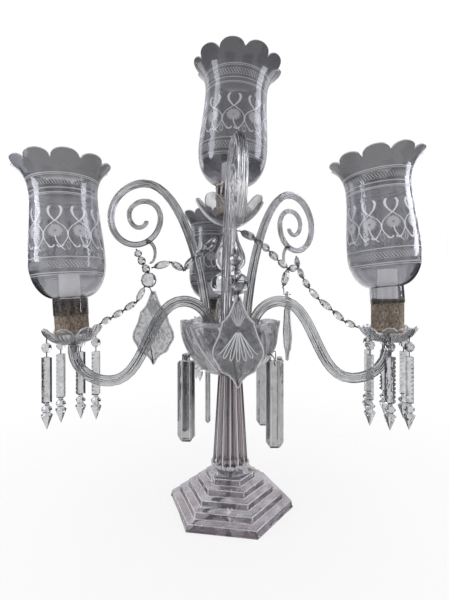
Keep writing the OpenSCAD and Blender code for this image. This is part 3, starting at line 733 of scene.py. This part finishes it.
def makeColumn(glass):
    column = columnShape
    shoulderR, shoulderZ = column["shoulder"]
    neckR, neckZ = column["neck"]
    profile = [(rodBore, 50.05), (18.5, 50.05), (19.2, 51.5), (20.5, 53), (22.6, 54.8), (24, 57),
               (24.6, 59.5)]
    for i in range(25):
        profile.append((shoulderR + (neckR - shoulderR) * i / 24, shoulderZ + (neckZ - shoulderZ) * i / 24))
    profile.append((rodBore, neckZ))
    bm = lathe(profile, column["flutes"] * column["stepsPerFlute"])
    for v in bm.verts:
        r = hypot(v.co.x, v.co.y)
        if r < 10 or v.co.z < 53:
            continue
        share = (atan2(v.co.y, v.co.x) * column["flutes"] / tau + 0.5) % 1.0 - 0.5
        ends = min(1.0, max(0.0, (v.co.z - 54) / 8)) ** 0.5
        cutIn(v, column["fluteDepth"] * max(0.0, 1 - (share / column["fluteShare"]) ** 2) * ends)
    finishPiece("flutedColumn", bm, [glass], root, ["column"], smoothTo=40)
    # the beaded collar under the column
    bm = bmesh.new()
    beads = {"count": 26, "radius": 3.0, "ring": 24.2, "height": 56.5}
    for k in range(beads["count"]):
        made = bmesh.ops.create_icosphere(bm, subdivisions=2, radius=beads["radius"])["verts"]
        spot = polar(beads["ring"], 360 * k / beads["count"], beads["height"])
        bmesh.ops.translate(bm, vec=spot, verts=made)
    finishPiece("collarBeads", bm, [frostedHighlightGlass], root, smoothTo=60)


bowlShape = {"bottom": 183, "top": 256, "radius": 70, "wall": 4, "notches": 10, "notchDepth": 3.5,
             "panels": 10, "panelDepth": 2.2, "swirl": 0.9, "steps": 240}


def cutBowlGlass(name):
    # a hazy bowl with bright lines where its leaning panels meet
    look = {"deep": grey(0.46, 0.01), "tint": grey(0.84, 0.02), "haze": grey(0.44, 0.02),
            "lines": grey(0.88, 0.04)}
    paint = Paint(name)
    bottom, height = bowlShape["bottom"], bowlShape["top"] - bowlShape["bottom"]
    spot = paint.placeIn(Matrix.Translation((0, 0, bottom)))
    x, y, z = paint.split(spot)
    turn = y.bearingFrom(x) * (bowlShape["panels"] / tau)
    share = (turn + z * (bowlShape["swirl"] / height) + 1).fraction() - 0.5
    ridge = abs(share).band(0.5, 0.03, 0.04) * z.band(38, 29, 4)
    vein = abs(share).band(0.22, 0.012, 0.03) * z.band(36, 24, 6) * 0.6
    rim = z.band(height, 5.5, 1.5) * 0.35
    cloud = paint.noise(spot, 0.05, 3.0, 0.8)
    fine = paint.noise(spot, 0.5, 3.0)
    lines = ridge.larger(vein)
    normal = paint.bump(cloud * 2 + fine * 0.12 + lines, 0.6, 0.0015)
    tint = paint.blend(cloud.band(0.5, 0.04, 0.12), look["deep"], look["tint"])
    body = paint.glass(tint, fine * 0.06 + 0.01, normal)
    haze = paint.coat(paint.blend(lines.larger(rim), look["haze"], look["lines"]), fine * 0.3 + 0.15, normal)
    share = (lines * 0.6).larger(cloud * 0.12 + fine * 0.1 - 0.03 + rim * 0.6)
    return paint.surface(paint.mixShaders(share.clamped(), body, haze))


def makeBowl(glass):
    bowl = bowlShape
    low, top = bowl["bottom"], bowl["top"]
    outer = [(29, low), (36.5, 186.4), (44, 191), (49.6, 196.2), (54.5, 202), (58.6, 208), (62, 214.5)]
    outer += bend(outer[-1], (65.8, 222), (68, 230), (69, 238), 6)
    outer += bend(outer[-1], (69.6, 244), (70, 250), (bowl["radius"], top), 4)
    inner = [(r - bowl["wall"], h + 2 if h < top else h) for r, h in outer[:0:-1]]
    floor = [(26, low + bowl["wall"]), (rodBore, low + bowl["wall"])]
    bm = lathe([(rodBore, low)] + outer + inner + floor, bowl["steps"])
    track = bm.verts.layers.float["track"]
    for v in bm.verts:
        angle, up = atan2(v.co.y, v.co.x), (v.co.z - low) / (top - low)
        # the rim's scallops
        share = ((angle - radians(10)) * bowl["notches"] / tau) % 1.0 - 0.5
        v.co.z -= bowl["notchDepth"] * (2 * abs(share)) ** 3 * max(0.0, (up - 0.8) / 0.2)
        # leaning panels cut into the outside
        if 1 < v[track] < len(outer):
            turn = (angle * bowl["panels"] / tau + bowl["swirl"] * up) % 1.0 - 0.5
            ends = min(1.0, 4 * up) * min(1.0, 4 * (1 - up))
            cutIn(v, bowl["panelDepth"] * (1 - (2 * abs(turn)) ** 1.6) * ends)
    finishPiece("glassBowl", bm, [glass], root, ["bowl"], smoothTo=35)


def scallopSides(bm, count, depth, least):
    # shallow upright flutes round a turned piece
    for v in bm.verts:
        r = hypot(v.co.x, v.co.y)
        if r > least:
            cutIn(v, depth * abs(sin(atan2(v.co.y, v.co.x) * count / 2)) * min(1, (r - least) / 4))


def makeStem(glass):
    # a vase, a cut ball, a pear and a dish of leaves
    vase = [(rodBore, 241.1), (9, 241.1), (10, 242), (12, 245)]
    vase += bend(vase[-1], (15, 250), (17.5, 254), (17.2, 262), 8)
    vase += bend((17.2, 262), (17, 272), (9, 274), (9, 284), 8)
    bm = lathe(vase + [(11, 287), (12, 290.9), (rodBore, 290.9)])
    scallopSides(bm, 12, 0.8, 8)
    finishPiece("stemVase", bm, [glass], root, ["lower_baluster"], smoothTo=40)

    ball = [(12, 291.1), (19, 293.5), (24, 297), (27.5, 304), (27.5, 310), (24, 317), (18, 321), (11, 324.9)]
    bm = lathe([(rodBore, 291.1)] + ball + [(rodBore, 324.9)], 16)
    finishPiece("stemBall", bm, [glass], root, ["stem_ball"])

    pear = [(rodBore, 325.1), (10, 325.1), (14, 327)]
    pear += bend((14, 327), (19, 331), (21.8, 335), (21.6, 341), 6)
    pear += bend((21.6, 341), (21.4, 354), (13, 360), (10.5, 376), 10)
    bm = lathe(pear + [(9, 387.9), (rodBore, 387.9)], 120)
    scallopSides(bm, 10, 1.3, 8)
    finishPiece("stemPear", bm, [glass], root, ["stem_pear"], smoothTo=40)

    leaf = [(rodBore, 388.1), (9, 388.1), (18, 393)]
    leaf += bend((18, 393), (28, 399), (40, 410), (46, 425.5), 18)
    bm = lathe(leaf, 192, loop=False)
    slidePetals(bm, leaf, 8, 12, 5, 0.5, 0.8)
    thicken(bm, 3)
    finishPiece("stemLeaves", bm, [glass, frostedHighlightGlass], root, ["stem_bobeche"], smoothTo=45)


def makeBobeches(glass):
    dish = {"petals": 8, "turns": {"left": 6, "right": 27, "rear": 0}, "wall": 2.6, "petalsFrom": 6,
            "petalSlide": 0.75, "ribs": 40, "ribHeight": 0.7}
    profile = [(4, 0.6), (7, 0.6), (15, 2.2)] + bend((15, 2.2), (23, 4.5), (31, 10), (36.5, 21.2), 18)
    start = dish["petalsFrom"]
    for light, turn in dish["turns"].items():
        bm = lathe(profile, 192, loop=False)
        slidePetals(bm, profile, dish["petals"], turn, start, dish["petalSlide"], 0.55)
        track = bm.verts.layers.float["track"]
        for v in bm.verts:
            # ribs that run out along the petals
            if v[track] > start:
                rib = abs(sin(atan2(v.co.y, v.co.x) * dish["ribs"] / 2))
                v.co.z += dish["ribHeight"] * rib * min(1, (v[track] - start) / 6)
        thicken(bm, dish["wall"])
        place = lightFrames[light] @ Matrix.Translation((0, 0, -layout["bobecheDepth"]))
        finishPiece(f"{light}Bobeche", bm, [glass, frostedHighlightGlass], root, [f"{light}_bobeche"], place, 45)


brassLook = {
    "hollow": rgb(0.15, 0.13, 0.105), "flat": rgb(0.25, 0.205, 0.165), "rubbed": rgb(0.5, 0.37, 0.26),
    "repeats": 10, "span": 12.9, "rows": 5, "rowStep": 7, "topRow": 7.5,
    # across, up and radius of each curl in a row
    "curls": [(2.6, 0, 2.5), (-3.4, 1.4, 1.5), (4.9, -3.2, 1.0), (-1.2, -3.0, 1.2)],
}


def embossedBrass(name, light):
    look = brassLook
    paint = Paint(name)
    spot = paint.placeIn(lightFrames[light])
    x, y, z = paint.split(spot)
    across = ((y.bearingFrom(x) / tau * look["repeats"]).fraction() - 0.5) * look["span"]

    def curl(aside, up, radius):
        far = ((across - aside) * (across - aside) + (z - up) * (z - up)).root()
        return far.band(radius, 0.45, 0.6)

    marks = []
    for row in range(look["rows"]):
        lean = 1 if row % 2 else -1
        level = -look["topRow"] - look["rowStep"] * row
        marks += [curl(aside * lean, up + level, radius) for aside, up, radius in look["curls"]]
    grain = paint.noise(spot, 0.9, 3.0)
    blotch = paint.noise(spot, 0.1)
    height = largest(marks + [z.band(-1.5, 1.2, 0.6), z.band(-40.5, 2, 0.8)])
    rubbed = (height * (blotch.band(0.66, 0.07, 0.09) * 0.5 + 0.12) * (grain * 1.6)).clamped()
    colour = paint.blend(height, look["hollow"], look["flat"])
    return paint.surface(paint.coat(paint.blend(rubbed, colour, look["rubbed"]), 0.66 - rubbed * 0.3,
                                    paint.bump(height + grain * 0.3, 0.8, 0.0008), {"Metallic": 0.6}))


def makeGalleries():
    r, depth = 20.5, layout["galleryDepth"]
    outside = [(rodBore, -depth), (17, -depth), (19.6, -depth + 0.4), (r, -depth + 1.5), (r, -depth + 4),
               (r - 0.7, -depth + 5), (r - 0.7, -30), (r - 0.7, -20), (r - 0.7, -5), (r, -4), (r, -0.4),
               (r - 0.3, 0), (r - 0.9, 0)]
    for light, place in lightFrames.items():
        shelf = -layout["rightShelfDepth" if light == "right" else "shelfDepth"]
        inside = [(r - 1.1, shelf), (r - 5.5, shelf), (r - 5.5, shelf - 1.2), (r - 1.9, shelf - 1.2),
                  (r - 1.9, 2 - depth), (rodBore, 2 - depth)]
        bm = lathe(outside + inside)
        brass = embossedBrass(f"{light}Brass", light)
        finishPiece(f"{light}Gallery", bm, [brass], root, [f"{light}_gallery"], place, 40)


hangings = {
    # the bearing, the turn about its own height and the shortening of each bowl prism
    "bowlPrisms": [(-8, 0, 0), (-33, -57, 0), (-147, 54, 8), (160, 0, 0), (120, 60, 0), (41, 49, 0)],
    "bowlHole": (59, 213), "prismRadius": 69,
    "spears": {"left": [6 + 45 * k for k in (4, 3, 2, 1)], "right": [27 + 45 * k for k in (5, 6, 0, 1, 2, 4)],
               "rear": [45 * k for k in (5, 7, 0, 4)]},
    "spearRadius": 31.5, "spearHeight": 9.5,
    # the place and the turn of each leaf
    "leaves": {"front": (8, -105, 289, 0), "left": (-107, -8, 297, 0), "right": (85, 27, 297, 90)},
}


def makeBowlPrisms(glass):
    prism = {"length": 116, "half": 11.5, "thick": 4, "edge": 1.2, "face": 5, "drop": 8, "away": 5.5,
             "ground": 0.35, "wire": 0.8}
    holeR, holeZ = hangings["bowlHole"]
    middle, away = hangings["prismRadius"], prism["away"]
    top = holeZ - prism["drop"]
    thick, edge, face, half = prism["thick"], prism["edge"], prism["face"], prism["half"]
    outline = [(thick, face), (edge, half), (-edge, half), (-thick, face)]
    outline += [(-x, -y) for x, y in outline]
    for i, (bearing, turn, cut) in enumerate(hangings["bowlPrisms"], 1):
        length = prism["length"] - cut
        bm = bmesh.new()
        extrudeOutline(bm, [(x, y, 0) for x, y in outline], (0, 0, -length))
        # the cut point, from its sides and its faces, and the shoulders
        slopes = [(Vector((0, 0.8 * way, -0.6)), (0, half * way, 10 - length)) for way in (1, -1)]
        slopes += [(Vector((0.75 * way, 0, -0.66)), (thick * way, 0, 6 - length)) for way in (1, -1)]
        slopes += [(Vector((0, 0.8 * way, 0.6)), (0, half * way, -3)) for way in (1, -1)]
        for normal, at in slopes:
            made = bmesh.ops.bisect_plane(bm, geom=bm.verts[:] + bm.edges[:] + bm.faces[:], plane_co=at,
                                          plane_no=normal, clear_outer=True)["geom_cut"]
            bmesh.ops.holes_fill(bm, edges=onlyEdges(made))
        bmesh.ops.recalc_face_normals(bm, faces=bm.faces)
        # the bevelled edges get the bright frosted material, a painted highlight
        bmesh.ops.bevel(bm, geom=[e for e in bm.edges if e.calc_face_angle(0) > 0.3], offset=prism["ground"],
                        segments=1, profile=0.5, affect="EDGES", material=2)
        hung = Matrix.Translation((middle, 0, top)) @ Matrix.Rotation(radians(turn), 4, "Z")
        bmesh.ops.transform(bm, matrix=hung, verts=bm.verts)
        x, y = middle - away * cos(radians(turn)), -away * sin(radians(turn))
        addWire(bm, [(holeR - 3, 0, holeZ), (middle - away, 0, holeZ), (x, y, top + 3), (x, y, top - 5),
                     (2 * middle - x, -y, top - 5)], prism["wire"])
        finishPiece(f"bowlPrism{i}", bm, [glass, iron, frostedHighlightGlass], f"bowl_prism_{i}", [f"bowl_prism_{i}"],
                    Matrix.Rotation(radians(bearing), 4, "Z"))


def makeSpears(glass):
    spear = {"drop": 22, "half": 6.3, "notch": 4.9, "body": 57, "teeth": 11, "neck": 2.6, "knob": 6.4,
             "wire": 0.7}
    pitch, half, neck = spear["body"] / spear["teeth"], spear["half"], spear["neck"]
    profile = [(0, 0), (4.5, 0)]
    for k in range(spear["teeth"]):
        profile += [(half, -pitch * (k + 0.12)), (half, -pitch * (k + 0.72))]
        profile.append((spear["notch"], -pitch * (k + 0.92)))
    notches = {round(h, 4) for r, h in profile if r == spear["notch"]}
    profile += [(neck, -spear["body"] - 1), (0, -spear["body"] - 1)]
    knob = [(0, 0), (neck, 0), (3.0, -2.5), (spear["knob"], -6), (spear["knob"], -8), (3.6, -11.5),
            (7.2, -14.5), (0, -33)]
    for light, bearings in hangings["spears"].items():
        a = radians(layout["leftLean"]) if light == "left" else 0.0
        for i, bearing in enumerate(bearings, 1):
            hole = polar(hangings["spearRadius"], bearing)
            up = hangings["spearHeight"] * cos(a) - hole.x * sin(a)
            across = hole.x * cos(a) + hangings["spearHeight"] * sin(a)
            spot = lightSpots[light] + Vector((across, hole.y, up - layout["bobecheDepth"]))
            bm = lathe(profile, 16, loop=False)
            for v in bm.verts:
                # square in section, with the notches on one corner only
                r, around = v.co.xy.length, atan2(v.co.y, v.co.x)
                if r > 0.1:
                    r = half if v.co.y < 4.8 and round(v.co.z, 4) in notches else r
                    v.co.xy = v.co.xy.normalized() * r / (abs(cos(around)) + abs(sin(around)))
            head = lathe(knob, 8, loop=False)
            bmesh.ops.translate(head, vec=(0, 0, -spear["body"] - 0.5), verts=head.verts)
            rest = bpy.data.meshes.new("head")
            head.to_mesh(rest)
            head.free()
            join(bm, rest)
            bmesh.ops.translate(bm, vec=(0, 0, -spear["drop"]), verts=bm.verts)
            addBead(bm, (0, 0, -3.5), (0, 0, -17.5), 6.2, 13)
            addWire(bm, [(0, 0, 2.5), (0, 0, -4.5)], spear["wire"])
            addWire(bm, [(0, 0, -16), (0, 0, -23)], spear["wire"])
            node = f"{light}_spear_{i}"
            finishPiece(f"{light}Spear{i}", bm, [glass, iron], node, [node],
                        Matrix.Translation(spot) @ Matrix.Rotation(radians(bearing), 4, "Z"))


def cutLeafGlass(name, leaf):
    # glass with a fan of loops cut into it
    look = {"deep": rgb(0.28, 0.27, 0.28), "tint": rgb(0.56, 0.565, 0.58), "dust": grey(0.42, 0.02),
            "lines": grey(0.9, 0.03), "foot": -37}
    *origin, turn = hangings["leaves"][leaf]
    paint = Paint(name)
    spot = paint.placeIn(Matrix.Translation(origin) @ Matrix.Rotation(radians(turn), 4, "Z"))
    across, _, up = paint.split(spot)

    def fan(sign, gap, half, reach, wide):
        down = (look["foot"] - up) * sign
        far = (across * across + down * down).root()
        around = across.bearingFrom(down)
        off = abs((around / gap + 0.5).fraction() - 0.5) * far * gap
        end = (far / reach).clamped()
        width = (end ** 0.7) * (1 - end ** 8).root() * wide
        lines = (off - width).band(0, 0.28, 0.4)
        return lines * far.band(reach / 2 + 2, reach / 2 - 2, 0.6) * abs(around).band(0, half, 0.05)

    loops = fan(1, 0.23, 0.66, 36, 2.3)
    folds = fan(-1, 0.2, 0.5, 27, 1.4) * 0.7
    rib = across.band(0, 0.3, 0.4) * up.band(-50, 12, 2) * 0.6
    lines = loops.larger(folds).larger(rib)
    grain = paint.noise(spot, 0.12, 3.0, 0.7)
    normal = paint.bump(grain * 0.9 - lines, 0.9, 0.0014)
    tint = paint.blend(grain.band(0.5, 0.05, 0.14), look["deep"], look["tint"])
    body = paint.glass(tint, grain * 0.06 + 0.01, normal)
    dust = paint.coat(paint.blend(lines, look["dust"], look["lines"]), grain * 0.2 + 0.2)
    return paint.surface(paint.mixShaders((lines * 0.7).larger(grain * 0.2).clamped(), body, dust))


def makeLeaves():
    leaf = {"length": 103, "rim": 1.3, "slope": 1.6, "sink": 1.0, "raise": 1.7, "thick": 1.2}
    # half widths, and heights as shares of the length
    half = [(3, 0), (5, -0.06), (7.5, -0.13), (10.8, -0.2), (15, -0.25), (18.6, -0.285), (19, -0.32),
            (20.6, -0.37), (22, -0.42), (25, -0.485), (28.2, -0.555), (29.2, -0.62), (28.4, -0.66),
            (26, -0.7), (24.2, -0.73), (22.4, -0.755), (21.6, -0.79), (18.4, -0.83), (14, -0.85),
            (10.2, -0.87), (5.3, -0.92), (0.8, -1)]
    edge = [(w, 0, h * leaf["length"]) for w, h in half]
    edge += [(-w, 0, h) for w, _, h in edge[::-1]]
    for name, (*spot, turn) in hangings["leaves"].items():
        bm = bmesh.new()
        extrudeOutline(bm, edge, (0, leaf["thick"], 0))
        bmesh.ops.recalc_face_normals(bm, faces=bm.faces)
        for inset, rise, index in ((leaf["rim"], leaf["raise"], 1), (leaf["slope"], -leaf["sink"], 0)):
            broad = [f for f in bm.faces if len(f.verts) > 8]
            made = bmesh.ops.inset_region(bm, faces=broad, thickness=inset, depth=rise, use_even_offset=True)
            for slope in made["faces"]:
                slope.material_index = index
        bmesh.ops.translate(bm, vec=(0, -leaf["thick"] / 2, 0), verts=bm.verts)
        place = Matrix.Translation(spot) @ Matrix.Rotation(radians(turn), 4, "Z")
        glass, node = cutLeafGlass(f"{name}LeafGlass", name), f"{name}_pendalogue"
        finishPiece(f"{name}Leaf", bm, [glass, frostedHighlightGlass], node, [node], place, 25)


chains = {
    # strings of beads, each a radius and the places of its knots, with wire hooks and cut rosettes
    "left": {
        "node": "left_chain",
        "strings": [(4.6, [(-164, -54, 255), (-153, -45, 262), (-141, -33, 271), (-127, -21, 282),
                           (-118, -14, 302)]),
                    (5.9, [(-114, -9, 322), (-122, 0, 334), (-130, 8, 346), (-135, 12, 356)])],
        "hooks": [[(-112, -13, 304), (-107, -13, 292.5), (-107, -3, 292.5)]],
        "rosettes": [(-113, -10, 312)],
    },
    "right": {
        "node": "right_chain",
        "strings": [(4.8, [(167, -29, 249), (154, -20, 256), (141, -10, 270), (126, 3, 285), (115, 15, 301),
                           (109, 28, 316), (105, 48, 334), (107, 72, 353)]),
                    (5.8, [(104, 47, 334), (88, 40, 331), (79, 28, 304)])],
        "hooks": [[(80, 29, 302), (80, 27, 292.5), (90, 27, 292.5)]],
        "rosettes": [],
    },
    "scroll": {
        "node": "scroll_chain",
        "strings": [(5.3, [(-108, -4, 330), (-85, 6, 338), (-65, 2, 327), (-50, -6, 345), (-38, -12, 353),
                           (-14, -42, 367)]),
                    (5.8, [(14, -46, 372), (34, -10, 369), (47, 22, 367), (58, 24, 356), (72, 34, 344),
                           (87, 39, 333)])],
        "hooks": [[(-13, -42, 368), (-4, -46, 374), (13, -46, 373)]],
        "rosettes": [],
    },
    "drop": {
        "node": "front_drop",
        "strings": [(6.8, [(4, -116, 337), (5, -113, 321), (6, -110, 306), (8, -110, 293)])],
        "hooks": [[(8, -110, 291), (8, -115, 284.5), (8, -105, 284.5)]],
        "rosettes": [],
    },
}
chainSizes = {"gap": 2, "knotHalf": 2.4, "knot": 1.1, "hook": 0.7, "rosette": (11, 11, 4.6, 1)}


def makeChains(glass):
    for name, chain in chains.items():
        bm = bmesh.new()
        for radius, route in chain["strings"]:
            for a, b in zip(map(Vector, route), map(Vector, route[1:])):
                addBead(bm, a, b, radius, (b - a).length - chainSizes["gap"])
                along = (b - a).normalized() * chainSizes["knotHalf"]
                for knot in (a, b):
                    addWire(bm, [knot - along, knot + along], chainSizes["knot"])
        for hook in chain["hooks"]:
            addWire(bm, hook, chainSizes["hook"])
        for spot in chain["rosettes"]:
            addBall(bm, 12, 8, Matrix.Translation(spot) @ Matrix.Rotation(pi / 2, 4, "X")
                    @ Matrix.Diagonal(chainSizes["rosette"]))
        finishPiece(f"{name}Beads", bm, [glass, iron], root, [chain["node"]])


glassLooks = {
    # what differs from glassLook, and the scale of the unevenness
    "clearGlass": ({"sides": 0.4}, 28),
    "rodGlass": ({"tint": rgb(0.66, 0.665, 0.68), "deep": grey(0.42, 0.01), "sides": 0.85}, 45),
    # painted light and shade: the three scrolls are alike, but the side ones get a darker glass and the front
    # one a lighter glass
    "shadedSideScrollGlass": ({"tint": rgb(0.48, 0.485, 0.5), "deep": grey(0.3, 0.01), "sides": 0.75}, 45),
    "litFrontScrollGlass": ({"tint": grey(0.92, 0.02), "deep": grey(0.74, 0.01), "sides": 0.45}, 45),
    "prismGlass": ({"tint": grey(0.44, 0.005), "deep": rgb(0.3, 0.285, 0.29)}, 50),
    "beadGlass": ({"tint": rgb(0.66, 0.665, 0.68), "deep": grey(0.42, 0.01)}, 90),
    "chainGlass": ({"tint": grey(0.68, 0.01), "deep": grey(0.34, 0.01), "sides": 0.6}, 90),
}
glasses = {name: clearGlass(name, look, scale) for name, (look, scale) in glassLooks.items()}

makeShades()
print("shades made")
makeArms(glasses["rodGlass"])
sideScrolls = glasses["shadedSideScrollGlass"]
makeScrolls({"front": glasses["litFrontScrollGlass"], "left": sideScrolls, "right": sideScrolls})
print("arms and scrolls made")
makeFoot(steppedGlass("footGlass"))
makeColumn(flutedGlass("columnGlass"))
makeBowl(cutBowlGlass("bowlGlass"))
makeStem(glasses["clearGlass"])
print("foot, column, bowl and stem made")
makeBobeches(glasses["clearGlass"])
makeGalleries()
print("bobeches and galleries made")
makeBowlPrisms(glasses["prismGlass"])
makeSpears(glasses["beadGlass"])
makeLeaves()
makeChains(glasses["chainGlass"])
print("prisms, leaves and chains made")

keptFinishes = {
    metal("dullSteel", grey(0.22, 0.01), grey(0.45, 0.01), 180): ["receiver", "tie_rod"],
    metal("nutBrass", rgb(0.42, 0.32, 0.14), rgb(0.62, 0.5, 0.26), 220): ["foot_nut"],
    # the sleeves give off a little light of their own, painted light, as they are no lamps
    plastic("sleeveWhitePaintedGlow", grey(0.88, -0.01), grey(0.8, -0.01), 0.5): [f"{n}_sleeve" for n in lightSpots],
    plastic("holderWhite", grey(0.78, -0.02), grey(0.68, -0.02)): ["lampholders"],
}
for material, names in keptFinishes.items():
    for name in names:
        cadNodes[name].data.materials.clear()
        cadNodes[name].data.materials.append(material)


studio = {
    "ambient": 0.75, "middle": (0, 0, 0.33), "lampWatts": 3.5, "lampSize": (0.5, 1.3),
    "lampColour": (0.93, 0.94, 1.0), "lamps": [(-1.45, -0.42, 0.42), (1.5, 0.0, 0.42)],
    "cards": {  # brightness, and (place, size) of each
        "dark": (0.03, [((-1.6, 0.35, 0.35), (2.66, 2.6)), ((1.6, 0.35, 0.35), (2.66, 2.6)),
                        ((-0.8, -1.6, 0.4), (0.9, 1.8)), ((0.85, -1.6, 0.4), (0.9, 1.8)),
                        ((0, -0.3, 1.9), (2.4, 1.6)), ((0, 1.2, 2.3), (2.6, 1.2))]),
        "window": (9, [((-1.33, -0.4, 0.95), (0.5, 1.3)), ((1.42, 0.02, 0.95), (0.6, 1.3))]),
        "backWindow": (2.4, [((-1.0, 0.78, 0.95), (0.5, 1.2)), ((1.0, 0.78, 0.95), (0.5, 1.2))]),
    },
    "floor": 0.8, "floorDrop": 0.0003, "floorGlow": 0.8,
}


def setUp(name, data, spot, facing):
    # something of the studio, which faces the middle of the candelabra
    holder = bpy.data.objects.new(name, data)
    holder.location = spot
    holder.rotation_euler = (Vector(studio["middle"]) - Vector(spot)).to_track_quat(facing, "Y").to_euler()
    scene.collection.objects.link(holder)
    return holder


def sheet(name, bm, material):
    mesh = bpy.data.meshes.new(name)
    bm.to_mesh(mesh)
    bm.free()
    mesh.materials.append(material)
    return mesh


def lightSky():
    sky = Paint("sky", scene.world or bpy.data.worlds.new("sky"))
    scene.world = sky.owner
    strength = sky.seen() * (1 - studio["ambient"]) + studio["ambient"]
    light = sky.add("ShaderNodeBackground", {}, {"Color": rgb(1, 1, 1), "Strength": strength})
    sky.add("ShaderNodeOutputWorld", {}, {"Surface": light})


def hangLamps():
    for i, spot in enumerate(studio["lamps"]):
        lamp = bpy.data.lights.new(f"lamp{i}", "AREA")
        lamp.shape, lamp.size, lamp.size_y = "RECTANGLE", *studio["lampSize"]
        lamp.energy, lamp.color = studio["lampWatts"], studio["lampColour"]
        setUp(f"lamp{i}", lamp, spot, "-Z").visible_glossy = False


def hangCards():
    # dark and bright cards that only the glass sees
    for kind, (strength, cards) in studio["cards"].items():
        paint = Paint(f"{kind}Card")
        cloth = paint.surface(paint.glow(rgb(0.9, 0.91, 1), strength))
        for i, (spot, (wide, high)) in enumerate(cards):
            bm = bmesh.new()
            bmesh.ops.create_grid(bm, x_segments=1, y_segments=1, size=0.5)
            bmesh.ops.scale(bm, vec=(wide, high, 1), verts=bm.verts)
            card = setUp(f"{kind}Card{i}", sheet(f"{kind}Card{i}", bm, cloth), spot, "Z")
            card.visible_camera = card.visible_diffuse = card.visible_shadow = False


def layFloor():
    # a white floor that keeps the shadow, and fades out all round
    paint = Paint("paleFloor")
    spot = paint.place()
    x, y, _ = paint.split(spot)
    fade = (1.25 - (x * x + y * y).root() * 1.9).clamped()
    matte = paint.add("ShaderNodeBsdfDiffuse", {}, {
        "Color": paint.blend(paint.noise(spot, 30), grey(0.97), grey(1))})
    lit = paint.mixShaders(paint.seen() * studio["floorGlow"], matte, paint.glow(rgb(1, 1, 1), 1.0))
    paleFloor = paint.surface(paint.mixShaders(fade, paint.add("ShaderNodeBsdfTransparent"), lit))
    bm = bmesh.new()
    bmesh.ops.create_circle(bm, cap_ends=True, segments=64, radius=studio["floor"])
    floor = bpy.data.objects.new("floor", sheet("floor", bm, paleFloor))
    floor.location.z = -studio["floorDrop"]
    scene.collection.objects.link(floor)


def placeCamera():
    camera = {"place": (-4.27, -508.0, 287.4), "down": 0.35, "left": 0.42, "lens": 21.594, "sensor": 36}
    eye = bpy.data.cameras.new("camera")
    eye.lens, eye.sensor_width, eye.clip_start = camera["lens"], camera["sensor"], 0.01
    holder = bpy.data.objects.new("camera", eye)
    holder.location = Vector(camera["place"]) / 1000
    holder.rotation_euler = (radians(90 - camera["down"]), 0, radians(camera["left"]))
    scene.collection.objects.link(holder)
    scene.camera = holder


lightSky()
hangLamps()
hangCards()
layFloor()
placeCamera()
print("studio made")

scene.view_settings.view_transform = "Standard"
